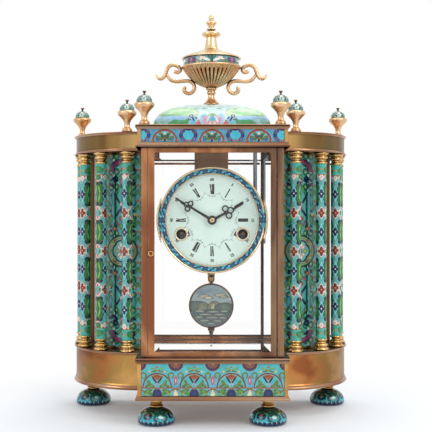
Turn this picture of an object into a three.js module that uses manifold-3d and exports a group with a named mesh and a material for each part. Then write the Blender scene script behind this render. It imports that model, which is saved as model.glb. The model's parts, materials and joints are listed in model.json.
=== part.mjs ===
// Pendulum mantel clock in brass and cloisonne enamel.
// Millimetres, +Z up, front towards -Y, origin on the floor under the middle of the clock.

import * as THREE from 'three';
import { mergeVertices } from 'three/addons/utils/BufferGeometryUtils.js';
import Module from 'manifold-3d';

const wasm = await Module();
wasm.setup();

// Driving dimensions: clearances and sheet sizes
const SEAT = 0.3; // gap left between pieces that rest on or in each other
const FLANGE = 2.5; // how far the plates stand out past the walls
const WALL = 3; // walls of the base box and the top box
const ENAMEL = 1.8; // enamelled copper panels

// Driving dimensions: plan
const DEPTH = 165; // front edge of the plates to the flat back
const BLOCK_W = 171; // centre block across its side walls
const WING_A = 88; // wing, from the block's side outwards
const WING_B = 88; // wing, front to the centre of its ellipse
const WING_STRAIGHT = 12; // straight end of the wing at the flat back
const COLUMN_INSET = 7; // column centres inside the wing's edge
const COLUMN_ANGLES = [12, 38, 64, 90]; // degrees round the wing from its front
const SHELL_INSET = 23; // enamelled shell inside the wing's edge
const SHELL_T = 2;

// Driving dimensions: levels
const FOOT_TOP = 31.2;
const FOOT_R = 22;
const FOOT_COLLAR_R = 7.6;
const BASE_PLATE_T = 4.7;
const WING_PLATE_T = 3; // plates of the wings over base and top, also how much lower their floor lies
const BASE_WALL_H = 37;
const FLOOR_T = 6; // floor of the case, on the block
const CASE_H = 240; // clear height from the floor to the ceiling
const CEILING_T = 5;
const TOP_WALL_H = 16.6;
const TOP_PLATE_T = 3.4;

// Driving dimensions: case
const POST = 7.5; // square section of the posts
const POST_INSET = 4; // outer faces of the posts inside the block's side walls
const POST_SETBACK = 8.5; // front face of posts and door behind the plate's edge
const PANE_T = 2.5; // where a pane leaves its frame
const PANE_EDGE = 2.1; // at its ground edge
const PANE_PROUD = 2; // middle of a pane in front of its frame's groove
const BEVEL = 8; // width of the ground edge in sight
const GROOVE = 1.2; // how deep a pane sits in a post
const STILE = 7.4;
const RAIL = 5.8;
const DOOR_T = 7;
const LIP = 1.5; // pane behind the door's opening, each side
const HINGE_IN = 1.7; // hinge pin from the door's edge and face
const PIN_R = 1;
const PIN_L = 3;
const DOOR_PLAY = 0.5; // under and over a door
const BUTTON_UP = 118.7; // door buttons above the floor of the case
const BUTTON_R = 3.5;
const BUTTON_STEM_R = 1.6;
const BUTTON_TRAVEL = 2;

// Driving dimensions: dial, hands
const DIAL_UP = 156.7; // middle of the dial above the floor of the case
const DIAL_Y = -42; // front of the dial
const DIAL_R = 57;
const DIAL_T = 1.5;
const DIAL_VIEW_R = 53.5; // white inside the bezel
const BEZEL_R = 62.5;
const DRUM_T = 2.9; // wall behind the bezel, round the dial's edge
const DRUM_D = 8;
const WIND_X = 36;
const WIND_Z = -16.5;
const WIND_HOLE_R = 6.2;
const GROMMET_R = 8;
const HOUR_ANGLE = 62; // degrees clockwise from twelve
const MINUTE_ANGLE = 301;
const HOUR_LENGTH = 41.5;
const HOUR_TREFOIL = [20, 3.9]; // distance from the centre, radius of a loop
const MINUTE_LENGTH = 50.5;
const MINUTE_TREFOIL = [31.5, 3.1];
const HAND_LINE = 1; // width of a loop's line
const HAND_T = 0.8;

// Driving dimensions: movement
const PLATE_R = 52;
const PLATE_T = 2;
const FRONT_PLATE_Y = -32; // front face of the front plate
const BACK_PLATE_Y = -4; // front face of the back plate
const HANGER_W = 41;
const ARBOR_R = 1.2;
const WHEEL_T = 1.2;
const ESCAPE_Z = 31; // above the dial's centre
const PALLET_Z = 47.5; // anchor and pendulum axis above the dial's centre
const BOB_UP = 51.7; // middle of the bob above the floor of the case
const PENDULUM_Y = 6;
const ROD_W = 8.9;
const ROD_T = 1.5;
const BOB_R = 27;
const BOB_T = 10;
const THREAD_R = 1.5;
const GONG_X = 54.2;
const GONG_Y = 10;
const GONG_R = 2.4;
const GONG_L = 104;
const HAMMER_X = 30;
const HAMMER_Z = 25;

// Driving dimensions: top
const DOME_W = 141;
const DOME_D = 110;
const DOME_H = 31.4;
const DOME_CORNER = 7; // powers of the dome's superellipses: outline and section
const DOME_CROWN = 2.3;
const FLUTES = 20;
const FRONT_FINIAL_X = 78;
const FRONT_FOOT_X = 65;
const WING_FOOT_IN = [23, 23.5]; // wing feet inside the wing's outer end and the flat back
const FRONT_FOOT_IN = 30; // front feet behind the edge of the base plate

// Levels worked out from the driving dimensions
const Z_BASE_PLATE = FOOT_TOP + SEAT;
const Z_BASE_WALL = Z_BASE_PLATE + BASE_PLATE_T + SEAT;
const Z_FLOOR = Z_BASE_WALL + BASE_WALL_H + FLOOR_T;
const Z_WING_FLOOR = Z_FLOOR - WING_PLATE_T;
const Z_CEILING = Z_FLOOR + CASE_H;
const DIAL_Z = Z_FLOOR + DIAL_UP;
const BUTTON_Z = Z_FLOOR + BUTTON_UP;
const Z_TOP_WALL = Z_CEILING + CEILING_T + SEAT;
const Z_TOP = Z_TOP_WALL + TOP_WALL_H + TOP_PLATE_T;
const Z_WING_TOP = Z_TOP - 2;

// Pendulum, from its axis to the middle of the bob
const PENDULUM_L = DIAL_UP + PALLET_Z - BOB_UP;

// Plan places worked out from the driving dimensions
const Y_BACK = DEPTH / 2;
const Y_EDGE = -DEPTH / 2;
const Y_WALL = Y_EDGE + FLANGE;
const X_BLOCK = BLOCK_W / 2;
const Y_WING = Y_BACK - WING_STRAIGHT;
const WING_FRONT = Y_WING - WING_B;
const X_POST = X_BLOCK - POST_INSET;
const Y_POST = Y_EDGE + POST_SETBACK;
const WING_FOOT_X = X_BLOCK + WING_A - WING_FOOT_IN[0];
const WING_FOOT_Y = Y_BACK - WING_FOOT_IN[1];
const PANEL_X = X_BLOCK - 4.2;
const X_DOOR = X_POST - POST - SEAT;
const ROUND = Math.PI * 2;

const radians = (degrees) => (degrees * Math.PI) / 180;

// Geometry helpers

// Merge the vertices, drop triangles without area, and turn the faces outwards.
function closed(geometry) {
  const bare = geometry.clone();
  for (const name of Object.keys(bare.attributes)) {
    if (name !== 'position') bare.deleteAttribute(name);
  }
  const welded = mergeVertices(bare, 1e-4);
  const at = welded.attributes.position;
  const corner = (i) => new THREE.Vector3().fromBufferAttribute(at, i);
  const kept = [];
  let volume = 0;
  for (let i = 0; i < welded.index.count; i += 3) {
    const [a, b, c] = [0, 1, 2].map((k) => welded.index.getX(i + k));
    if (a === b || b === c || c === a) continue;
    kept.push([a, b, c]);
    volume += corner(a).dot(corner(b).cross(corner(c)));
  }
  const faces = volume < 0 ? kept.map(([a, b, c]) => [a, c, b]) : kept;
  welded.setIndex(faces.flat());
  return welded;
}

function toSolid(geometry) {
  const whole = closed(geometry);
  return new wasm.Manifold(new wasm.Mesh({
    numProp: 3,
    vertProperties: new Float32Array(whole.attributes.position.array),
    triVerts: new Uint32Array(whole.index.array),
  }));
}

function fromSolid(solid) {
  const mesh = solid.getMesh();
  const geometry = new THREE.BufferGeometry();
  geometry.setAttribute('position', new THREE.BufferAttribute(mesh.vertProperties, 3));
  geometry.setIndex(new THREE.BufferAttribute(mesh.triVerts, 1));
  return geometry;
}

function join(...geometries) {
  return fromSolid(geometries.map(toSolid).reduce((sum, next) => sum.add(next)));
}

function cut(geometry, ...tools) {
  return fromSolid(tools.map(toSolid).reduce((rest, tool) => rest.subtract(tool), toSolid(geometry)));
}

// Points of an outline or hole, without the doubles where its curves meet.
function cleanPoints(path, divisions) {
  const points = path.getPoints(divisions);
  return points.filter((point, i) => point.distanceTo(points[(i + 1) % points.length]) > 1e-3);
}

// Outlines run anticlockwise and holes clockwise, whichever way they were drawn.
function wound(points, clockwise) {
  return THREE.ShapeUtils.isClockWise(points) === clockwise ? points : points.reverse();
}

function thicken(shape, depth, divisions) {
  const outline = new THREE.Shape(wound(cleanPoints(shape, divisions), false));
  outline.holes = shape.holes.map((path) => new THREE.Path(wound(cleanPoints(path, divisions), true)));
  return new THREE.ExtrudeGeometry(outline, { depth, bevelEnabled: false });
}

// A flat outline pulled up from z0 to z1.
function slab(shape, z0, z1, divisions = 12) {
  return thicken(shape, z1 - z0, divisions).translate(0, 0, z0);
}

// An outline drawn in X and Z, between its front face at y0 and its back face at y1.
function upright(shape, y0, y1, divisions = 12) {
  return thicken(shape, y1 - y0, divisions).rotateX(Math.PI / 2).translate(0, y1, 0);
}

function block(x0, x1, y0, y1, z0, z1) {
  const geometry = new THREE.BoxGeometry(x1 - x0, y1 - y0, z1 - z0);
  return geometry.translate((x0 + x1) / 2, (y0 + y1) / 2, (z0 + z1) / 2);
}

// Radius and height pairs turned round the Z axis.
function turned(profile, segments = 16) {
  const points = profile.map(([r, z]) => new THREE.Vector2(r, z));
  return new THREE.LatheGeometry(points, segments).rotateX(Math.PI / 2);
}

// A turned piece whose axis is Y: heights become distances behind the front.
function turnedBack(profile, segments = 16) {
  return turned(profile, segments).rotateX(-Math.PI / 2);
}

function peg(r, z0, z1, x = 0, y = 0, segments = 12) {
  const geometry = new THREE.CylinderGeometry(r, r, z1 - z0, segments);
  return geometry.rotateX(Math.PI / 2).translate(x, y, (z0 + z1) / 2);
}

function spindle(r, y0, y1, x = 0, z = 0, segments = 8) {
  return new THREE.CylinderGeometry(r, r, y1 - y0, segments).translate(x, (y0 + y1) / 2, z);
}

// A round tube along a smooth route, with domed ends left to the pieces it joins.
function tube(route, r, steps, sides = 5) {
  const curve = new THREE.CatmullRomCurve3(route.map(([x, y, z]) => new THREE.Vector3(x, y, z)));
  const section = disc(r, 0, 0, sides);
  return new THREE.ExtrudeGeometry(section, { extrudePath: curve, steps, bevelEnabled: false });
}

function polygon(points) {
  return new THREE.Shape(points.map(([x, y]) => new THREE.Vector2(x, y)));
}

function ringPoints(r, x, y, sides) {
  return Array.from({ length: sides }, (_, i) => {
    const angle = (i / sides) * ROUND;
    return new THREE.Vector2(x + r * Math.cos(angle), y + r * Math.sin(angle));
  });
}

const disc = (r, x = 0, y = 0, sides = 14) => new THREE.Shape(ringPoints(r, x, y, sides));
const hole = (r, x = 0, y = 0, sides = 8) => new THREE.Path(ringPoints(r, x, y, sides));

const mirrored = (geometry) => closed(geometry.clone().scale(-1, 1, 1));

// Materials

const finish = (color, roughness, metalness) => () => new THREE.MeshStandardMaterial({
  color, roughness, metalness, flatShading: true,
});
const gilt = finish(0xc99a55, 0.28, 1);
const bronze = finish(0x8a5f42, 0.35, 1);
const steel = finish(0x77787c, 0.35, 1);
const enamel = finish(0x3fb0a8, 0.25, 0);
const darkEnamel = finish(0x2b8a86, 0.25, 0);
const paleEnamel = finish(0x9cd6c4, 0.25, 0);
const dialWhite = finish(0xe6f0e8, 0.3, 0);
const blued = finish(0x1b1c24, 0.3, 0.6);

function glass() {
  return new THREE.MeshStandardMaterial({
    color: 0xeef4f2, roughness: 0.05, metalness: 0, transparent: true, opacity: 0.25,
  });
}

const clock = new THREE.Group();

function place(parent, name, geometry, material, x = 0, y = 0, z = 0) {
  const mesh = new THREE.Mesh(closed(geometry), material());
  mesh.name = name;
  mesh.position.set(x, y, z);
  parent.add(mesh);
  return mesh;
}

// Plan of the whole clock: block and two wings, grown outwards by grow. Where recess is above 0 the
// front wall steps back between its corners to take an enamelled panel.
function planOutline(grow, recess = 0) {
  const shape = new THREE.Shape();
  const side = X_BLOCK + grow;
  const a = WING_A + grow;
  const b = WING_B + grow;
  const end = Math.acos(grow / a);
  const front = Y_WALL - grow;
  shape.moveTo(X_BLOCK + a, Y_BACK);
  shape.lineTo(X_BLOCK + a, Y_WING);
  shape.absellipse(X_BLOCK, Y_WING, a, b, 0, -end, true);
  shape.lineTo(side, front);
  if (recess > 0) {
    shape.lineTo(PANEL_X, front);
    shape.lineTo(PANEL_X, front + recess);
    shape.lineTo(-PANEL_X, front + recess);
    shape.lineTo(-PANEL_X, front);
  }
  shape.lineTo(-side, front);
  shape.absellipse(-X_BLOCK, Y_WING, a, b, Math.PI + end, Math.PI, true);
  shape.lineTo(-X_BLOCK - a, Y_BACK);
  return shape;
}

// Inside of the walls as a hole of the outline above.
function planInside(recess) {
  const a = WING_A - WALL;
  const b = WING_B - WALL;
  const side = X_BLOCK - WALL;
  const end = Math.acos(-WALL / a);
  const front = Y_WALL + WALL + recess;
  const path = new THREE.Path();
  path.moveTo(X_BLOCK + a, Y_BACK - WALL);
  path.lineTo(X_BLOCK + a, Y_WING);
  path.absellipse(X_BLOCK, Y_WING, a, b, 0, -end, true);
  path.lineTo(side, front);
  path.lineTo(-side, front);
  path.absellipse(-X_BLOCK, Y_WING, a, b, Math.PI + end, Math.PI, true);
  path.lineTo(-X_BLOCK - a, Y_BACK - WALL);
  return path;
}

// The block's own raised plate: wide in front of the wings, narrow between them.
function blockOutline() {
  const x = X_BLOCK + FLANGE;
  const step = WING_FRONT - FLANGE;
  return polygon([
    [-x, Y_EDGE], [x, Y_EDGE], [x, step], [X_POST, step],
    [X_POST, Y_BACK], [-X_POST, Y_BACK], [-X_POST, step], [-x, step],
  ]);
}

function columnPlace(degrees) {
  const angle = radians(degrees);
  return [
    X_BLOCK + (WING_A - COLUMN_INSET) * Math.sin(angle),
    Y_WING - (WING_B - COLUMN_INSET) * Math.cos(angle),
  ];
}

const PLAN_STEPS = 6;

// Base

function basePlate() {
  const top = Z_BASE_PLATE + BASE_PLATE_T;
  const pieces = [slab(planOutline(FLANGE), Z_BASE_PLATE, top, PLAN_STEPS)];
  for (const side of [-1, 1]) {
    const [x, y] = columnPlace(COLUMN_ANGLES[0]);
    pieces.push(peg(2.4, Z_BASE_PLATE - 0.5, top - 1, side * x, y, 6));
    pieces.push(peg(2.4, Z_BASE_PLATE - 1.6, top - 1, side * (X_POST - POST / 2), Y_POST + POST / 2, 6));
  }
  return join(...pieces);
}

function doorPins(side, y, z) {
  return peg(PIN_R + SEAT, z - PIN_L - SEAT, z + PIN_L + SEAT, side * (X_DOOR - HINGE_IN), y, 10);
}

const FRONT_PIN_Y = Y_POST + HINGE_IN;
const BACK_PIN_Y = Y_BACK - SEAT - HINGE_IN;

function baseBox() {
  const walls = planOutline(0, FLANGE);
  walls.holes.push(planInside(FLANGE));
  return cut(
    join(
      slab(walls, Z_BASE_WALL, Z_WING_FLOOR, PLAN_STEPS),
      slab(planOutline(FLANGE), Z_FLOOR - FLOOR_T, Z_WING_FLOOR, PLAN_STEPS),
      slab(blockOutline(), Z_FLOOR - FLOOR_T, Z_FLOOR),
    ),
    doorPins(1, FRONT_PIN_Y, Z_FLOOR),
    doorPins(-1, BACK_PIN_Y, Z_FLOOR),
  );
}

function frontPanel(z0, z1) {
  const x = PANEL_X - SEAT;
  const y = Y_WALL + FLANGE - SEAT;
  return block(-x, x, y - ENAMEL, y, z0, z1);
}

// A bun, widest just above the floor, with a brass collar of two beads above it.
function foot() {
  const bun = [[0.9, 0], [1, 0.11], [0.98, 0.24], [0.86, 0.44], [0.65, 0.63], [0.42, 0.78], [0.3, 0.86]];
  const height = FOOT_R;
  return turned([
    [0, 0], ...bun.map(([r, z]) => [FOOT_R * r, height * z]),
    [FOOT_COLLAR_R + 1, 20.4], [FOOT_COLLAR_R - 2, 23.4], [FOOT_COLLAR_R, 25.6],
    [FOOT_COLLAR_R, FOOT_TOP], [0, FOOT_TOP],
  ], 12);
}

// Columns and wings

// Brass base, enamelled shaft and brass capital, turned as one.
function column() {
  const height = Z_CEILING - Z_WING_FLOOR - 2 * SEAT;
  const low = [
    [9.4, 0], [9.4, 2.2], [7.4, 3.4], [8.4, 5.6], [5.8, 8.6], [8, 12], [6.6, 14.5],
  ];
  const high = low.map(([r, z]) => [r, height - z]).reverse();
  return turned([[0, 0], ...low, ...high, [0, height]], 8);
}

// Bowed enamelled sheet with its flat back, open towards the side pane of the case.
function wingShell() {
  const x0 = X_POST + SEAT;
  const a = WING_A - SHELL_INSET;
  const b = WING_B - SHELL_INSET;
  const back = Y_BACK - SEAT;
  const shape = new THREE.Shape();
  shape.moveTo(x0, Y_WING - b);
  shape.lineTo(X_BLOCK, Y_WING - b);
  shape.absellipse(X_BLOCK, Y_WING, a, b, -Math.PI / 2, 0, false);
  shape.lineTo(X_BLOCK + a, back);
  shape.lineTo(x0, back);
  shape.lineTo(x0, back - SHELL_T);
  shape.lineTo(X_BLOCK + a - SHELL_T, back - SHELL_T);
  shape.absellipse(X_BLOCK, Y_WING, a - SHELL_T, b - SHELL_T, 0, -Math.PI / 2, true);
  shape.lineTo(x0, Y_WING - b + SHELL_T);
  return slab(shape, Z_WING_FLOOR + SEAT, Z_CEILING - SEAT, PLAN_STEPS);
}

// Entablature and top

function ceilingPlate() {
  return cut(
    join(
      slab(planOutline(FLANGE), Z_CEILING, Z_CEILING + WING_PLATE_T, PLAN_STEPS),
      slab(blockOutline(), Z_CEILING, Z_CEILING + CEILING_T),
    ),
    doorPins(1, FRONT_PIN_Y, Z_CEILING),
    doorPins(-1, BACK_PIN_Y, Z_CEILING),
  );
}

function topBox() {
  const walls = planOutline(0, FLANGE);
  walls.holes.push(planInside(FLANGE));
  const x = X_BLOCK + FLANGE + SEAT;
  const aboveCeiling = block(-x, x, Y_EDGE - 1, Y_BACK + 1, Z_CEILING, Z_TOP_WALL);
  const inFront = block(-x, x, Y_EDGE - 1, WING_FRONT - FLANGE, Z_TOP_WALL, Z_TOP);
  return join(
    cut(slab(walls, Z_CEILING + WING_PLATE_T + SEAT, Z_WING_TOP, PLAN_STEPS), aboveCeiling),
    cut(slab(planOutline(FLANGE), Z_WING_TOP - WING_PLATE_T, Z_WING_TOP, PLAN_STEPS), inFront),
    slab(blockOutline(), Z_TOP - TOP_PLATE_T, Z_TOP),
  );
}

function finial() {
  return turned([
    [0, 0], [6.6, 0], [6.6, 3.6], [4.4, 5], [3.3, 8], [4.6, 13], [8.4, 18.4], [11.7, 21.4], [11.7, 24.6],
    [9.3, 26.2], [9.1, 29], [7, 32.4], [2, 35], [2.5, 38.4], [0, 40],
  ], 8);
}

// Pillow on a rounded rectangle: its section is a superellipse, so the crown is nearly flat.
function dome() {
  const around = 28;
  const rows = 6;
  const corner = 2 / DOME_CORNER;
  const crown = 2 / DOME_CROWN;
  const power = (value, exponent) => Math.sign(value) * Math.abs(value) ** exponent;
  const positions = [0, 0, 0];
  const faces = [];
  for (let row = 0; row < rows; row += 1) {
    const lift = (row / rows) * (Math.PI / 2);
    const spread = Math.cos(lift) ** crown;
    const z = DOME_H * Math.sin(lift) ** crown;
    for (let i = 0; i < around; i += 1) {
      const angle = (i / around) * ROUND;
      positions.push(
        (DOME_W / 2) * spread * power(Math.cos(angle), corner),
        (DOME_D / 2) * spread * power(Math.sin(angle), corner),
        z,
      );
    }
  }
  positions.push(0, 0, DOME_H);
  const apex = rows * around + 1;
  for (let i = 0; i < around; i += 1) {
    const next = (i + 1) % around;
    faces.push(0, next + 1, i + 1);
    for (let row = 0; row < rows - 1; row += 1) {
      const low = row * around + 1;
      const high = low + around;
      faces.push(low + i, low + next, high + i, low + next, high + next, high + i);
    }
    const last = (rows - 1) * around + 1;
    faces.push(last + i, last + next, apex);
  }
  const geometry = new THREE.BufferGeometry();
  geometry.setAttribute('position', new THREE.Float32BufferAttribute(positions, 3));
  geometry.setIndex(faces);
  return geometry;
}

// A turned wall whose radius dips between flutes: two columns of points to a flute.
function fluted(profile, depth) {
  const geometry = turned(profile, FLUTES * 2);
  const at = geometry.attributes.position;
  for (let i = 0; i < at.count; i += 1) {
    const angle = Math.atan2(at.getY(i), at.getX(i));
    const hollow = (1 - Math.cos(angle * FLUTES)) / 2;
    const share = 1 - depth * hollow;
    at.setXYZ(i, at.getX(i) * share, at.getY(i) * share, at.getZ(i));
  }
  return geometry;
}

// Right-hand scroll handle: an upper branch from the outward tip to the curl beside the rim, and a
// lower branch from it under the bowl to its own curl. X and height above the urn's foot.
const HANDLE_UPPER = [
  [68, 37.4], [65.2, 33.6], [61.2, 32.3], [57.4, 35.2], [55, 41.2], [53, 45.8], [49, 48.8],
  [44.4, 48.8], [39.6, 46.4], [38.2, 42.6], [40.6, 40], [44.2, 40.6],
];
const HANDLE_LOWER = [
  [55, 41.2], [53, 34.8], [49, 30.6], [42.4, 28.8], [34.6, 29.4], [27.4, 29.4], [22.6, 26.8],
  [20.6, 21.8], [22.2, 17], [26.6, 14.2], [31.2, 15.2], [33.4, 18.2], [32.6, 20.6],
];
const HANDLE_R = 2.2;

function handle(side) {
  const inPlane = (route) => route.map(([x, z]) => [side * x, 0, z]);
  return [
    tube(inPlane(HANDLE_UPPER), HANDLE_R, 14),
    tube(inPlane(HANDLE_LOWER), HANDLE_R, 14),
  ];
}

const URN_RIM_Z = 55.4;

function urnBowl() {
  const foot = turned([
    [0, 0], [10.4, 0], [10.2, 1.6], [5.6, 5.6], [3.7, 10], [3.7, 13], [5.4, 15.4], [4.8, 17.6],
    [6.8, 19], [7.2, 22], [0, 22],
  ], 10);
  const bowl = fluted([
    [0, 20.8], [7.2, 21.2], [14.4, 23.2], [21, 27.8], [27.2, 33.4], [31.8, 39], [35.8, 44.6], [0, 44.6],
  ], 0.045);
  const band = turned([
    [0, 44], [36.4, 44.2], [36.6, 46.4], [34.3, 47.8], [34.3, URN_RIM_Z], [0, URN_RIM_Z],
  ], FLUTES);
  return join(foot, bowl, band, ...handle(1), ...handle(-1));
}

function urnLid() {
  return turned([
    [0, 0], [36.6, 0], [36.6, 1.6], [27, 5.6], [15, 9.6], [8, 12.6], [6.8, 16], [6.1, 27.4],
    [11.7, 29.2], [11.7, 33], [3.6, 35.6], [6.2, 37.4], [3, 39.2], [6.8, 44.8], [2.2, 48.8],
    [2.9, 51.4], [0, 56],
  ], 12);
}

// Glazed case

// Square post with a groove on the side that faces the pane.
function post() {
  const groove = PANE_T / 2 + SEAT;
  const shape = polygon([
    [0, 0], [POST, 0], [POST, POST], [POST / 2 + groove, POST], [POST / 2 + groove, POST - GROOVE],
    [POST / 2 - groove, POST - GROOVE], [POST / 2 - groove, POST], [0, POST],
  ]);
  return slab(shape, Z_FLOOR + SEAT, Z_CEILING - SEAT);
}

// Plate glass whose front edges are ground to a bevel: width and height, how far the flat face stays
// from the sides and from the top and bottom. Its back is at Y 0 and its middle at the origin.
function bevelled(width, height, insideX, insideZ) {
  const corners = (x, z, y) => [[-x, y, -z], [x, y, -z], [x, y, z], [-x, y, z]];
  const [x, z] = [width / 2, height / 2];
  const hull = wasm.Manifold.hull([
    ...corners(x, z, 0), ...corners(x, z, -PANE_EDGE),
    ...corners(x - insideX, z - insideZ, -PANE_T - PANE_PROUD),
  ]);
  return fromSolid(hull);
}

function sidePane() {
  const front = Y_POST + POST - GROOVE + SEAT;
  const back = Y_BACK - SEAT - POST + GROOVE - SEAT;
  const height = Z_CEILING - Z_FLOOR - 2 * SEAT;
  const inset = GROOVE - SEAT + BEVEL;
  return bevelled(back - front, height, inset, BEVEL).rotateZ(Math.PI / 2)
    .translate(-PANE_T / 2, (front + back) / 2, (Z_FLOOR + Z_CEILING) / 2);
}

const DOOR_LOW = Z_FLOOR + DOOR_PLAY;
const DOOR_HIGH = Z_CEILING - DOOR_PLAY;
const OPENING_X = X_DOOR - STILE;

// Front door at the front of the case; the back door is the same frame turned half round.
// The corner beside the hinge is rounded about its pins, so it clears the post as it swings.
function doorFrame() {
  const y0 = Y_POST;
  const y1 = Y_POST + DOOR_T;
  const stile = new THREE.Shape();
  stile.moveTo(X_DOOR, y1);
  stile.lineTo(X_DOOR, y0 + HINGE_IN);
  stile.absarc(X_DOOR - HINGE_IN, y0 + HINGE_IN, HINGE_IN, 0, -Math.PI / 2, true);
  stile.lineTo(OPENING_X - 1, y0);
  stile.lineTo(OPENING_X - 1, y1);
  const inner = OPENING_X + 1;
  const rebate = [Y_POST + 2.2, y1 + 1];
  const reach = OPENING_X + LIP + SEAT;
  const [low, high] = [DOOR_LOW + RAIL, DOOR_HIGH - RAIL];
  return cut(
    join(
      slab(stile, DOOR_LOW, DOOR_HIGH, 3),
      block(-inner, inner, y0, y1, DOOR_LOW, low),
      block(-inner, inner, y0, y1, high, DOOR_HIGH),
      block(-X_DOOR, -OPENING_X, y0, y1, DOOR_LOW, DOOR_HIGH),
      peg(PIN_R, DOOR_LOW - DOOR_PLAY - PIN_L, DOOR_LOW + 1, X_DOOR - HINGE_IN, FRONT_PIN_Y, 8),
      peg(PIN_R, DOOR_HIGH - 1, DOOR_HIGH + DOOR_PLAY + PIN_L, X_DOOR - HINGE_IN, FRONT_PIN_Y, 8),
    ),
    block(-OPENING_X, OPENING_X, y0 - 1, y1 + 1, low, high),
    block(-reach, reach, ...rebate, low - LIP - SEAT, high + LIP + SEAT),
    spindle(BUTTON_STEM_R + SEAT, y0 - 1, y1 + 1, -X_DOOR + STILE / 2 - SEAT, BUTTON_Z, 10),
  );
}

function doorPane() {
  const height = DOOR_HIGH - DOOR_LOW - 2 * (RAIL - LIP);
  const inset = LIP + BEVEL;
  return bevelled(2 * (OPENING_X + LIP), height, inset, inset)
    .translate(0, Y_POST + 2.2 + SEAT + PANE_T, (DOOR_LOW + DOOR_HIGH) / 2);
}

// Ring-shaped head, stem through the stile, and the catch behind it.
function doorButton() {
  const face = -BUTTON_TRAVEL - SEAT;
  return turnedBack([
    [0, face - 1.1], [1.5, face - 1.1], [1.9, face - 1.8], [2.8, face - 2], [BUTTON_R, face - 1.2],
    [BUTTON_R, face], [BUTTON_STEM_R, face], [BUTTON_STEM_R, DOOR_T + SEAT], [0, DOOR_T + SEAT],
  ], 10).translate(-X_DOOR + STILE / 2 - SEAT, Y_POST, BUTTON_Z);
}

const turnedRound = (geometry) => geometry.clone().rotateZ(Math.PI)
  .translate(0, Y_BACK - SEAT + Y_POST, 0);

// Dial, bezel and hands, drawn about the dial's centre

const DIAL_BACK = DIAL_Y + DIAL_T;
const DIAL_FEET = [30, 150, 270].map((degrees) => {
  const angle = radians(degrees);
  return [46 * Math.cos(angle), 46 * Math.sin(angle)];
});

function dial() {
  const plate = disc(DIAL_R, 0, 0, 28);
  const winding = (x) => hole(WIND_HOLE_R, x, WIND_Z, 12);
  plate.holes.push(hole(3.4, 0, 0, 12), winding(WIND_X), winding(-WIND_X));
  const grommet = (x) => {
    const ring = disc(GROMMET_R, x, WIND_Z, 12);
    ring.holes.push(winding(x));
    return upright(ring, DIAL_Y - 0.8, DIAL_Y + 0.4);
  };
  const feet = DIAL_FEET.map(([x, z]) => spindle(1.6, DIAL_BACK - 0.5, FRONT_PLATE_Y - SEAT, x, z, 6));
  return join(upright(plate, DIAL_Y, DIAL_BACK), grommet(WIND_X), grommet(-WIND_X), ...feet);
}

// Ring in front of the dial's edge and drum round it: enamelled face between two gilt beads.
function bezel() {
  const front = DIAL_Y - SEAT;
  const back = DIAL_BACK + DRUM_D;
  const inner = DIAL_R + SEAT;
  const drum = inner + DRUM_T;
  return turnedBack([
    [DIAL_VIEW_R, front], [DIAL_VIEW_R, front - 3],
    [BEZEL_R - 2.5, front - 4.6], [BEZEL_R - 1.3, front - 6.2], [BEZEL_R, front - 4.6],
    [drum, front - 1], [drum, back], [inner, back], [inner, front], [DIAL_VIEW_R, front],
  ], 28);
}

// Tapered arm with a trefoil of three open loops and a slim tip, drawn towards twelve.
function handShape(length, [at, loop], hubR, boreR) {
  const ring = (x, z) => {
    const shape = disc(loop, x, z, 9);
    shape.holes.push(hole(loop - HAND_LINE, x, z, 7));
    return upright(shape, 0, HAND_T);
  };
  const offset = loop * 1.15;
  const start = at + offset + loop - HAND_LINE / 2;
  const arm = polygon([[-1.1, 0], [1.1, 0], [0.7, at - 2], [0.7, at], [-0.7, at], [-0.7, at - 2]]);
  const knot = disc(1.4, 0, at, 8);
  const tip = polygon([[-0.9, start], [0.9, start], [0.7, length], [-0.7, length]]);
  const whole = join(
    upright(arm, 0, HAND_T), upright(tip, 0, HAND_T), upright(disc(hubR), 0, HAND_T),
    upright(knot, 0, HAND_T), ring(-offset, at), ring(offset, at), ring(0, at + offset),
  );
  return cut(whole, spindle(boreR, -1, HAND_T + 1));
}

const HOUR_Y = DIAL_Y - 3;
const MINUTE_Y = DIAL_Y - 5;
const PIPE_R = 2.6;

function hourHand() {
  const pipe = disc(PIPE_R, 0, 0, 10);
  pipe.holes.push(hole(ARBOR_R + SEAT, 0, 0, 10));
  const flat = handShape(HOUR_LENGTH, HOUR_TREFOIL, 5, ARBOR_R + SEAT).translate(0, HOUR_Y, 0);
  return join(flat, upright(pipe, HOUR_Y, FRONT_PLATE_Y - SEAT)).rotateY(radians(HOUR_ANGLE));
}

// The minute hand with its turned collet.
function minuteHand() {
  const bore = ARBOR_R + SEAT;
  const collet = turnedBack([
    [bore, -1.6], [2.6, -1.6], [3.6, -0.6], [3.6, 0.2], [bore, 0.2], [bore, -1.6],
  ], 10);
  return join(handShape(MINUTE_LENGTH, MINUTE_TREFOIL, 4.4, bore), collet)
    .translate(0, MINUTE_Y, 0).rotateY(radians(MINUTE_ANGLE));
}

// Movement: wheels turn on arbors between two round plates

// Pitch radii come from tooth counts and modules; pointed teeth dip shallowly into each other.
const TRAIN = {
  barrel: { teeth: 36, module: 1.13 },
  secondPinion: { teeth: 6, module: 1.13 },
  second: { teeth: 36, module: 0.92 },
  centrePinion: { teeth: 6, module: 0.92 },
  centre: { teeth: 72, module: 0.48 },
  thirdPinion: { teeth: 6, module: 0.48 },
  third: { teeth: 66, module: 0.44 },
  escapePinion: { teeth: 6, module: 0.44 },
  escape: { teeth: 35, module: 0.63 },
};
const pitch = ({ teeth, module }) => (teeth * module) / 2;

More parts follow.
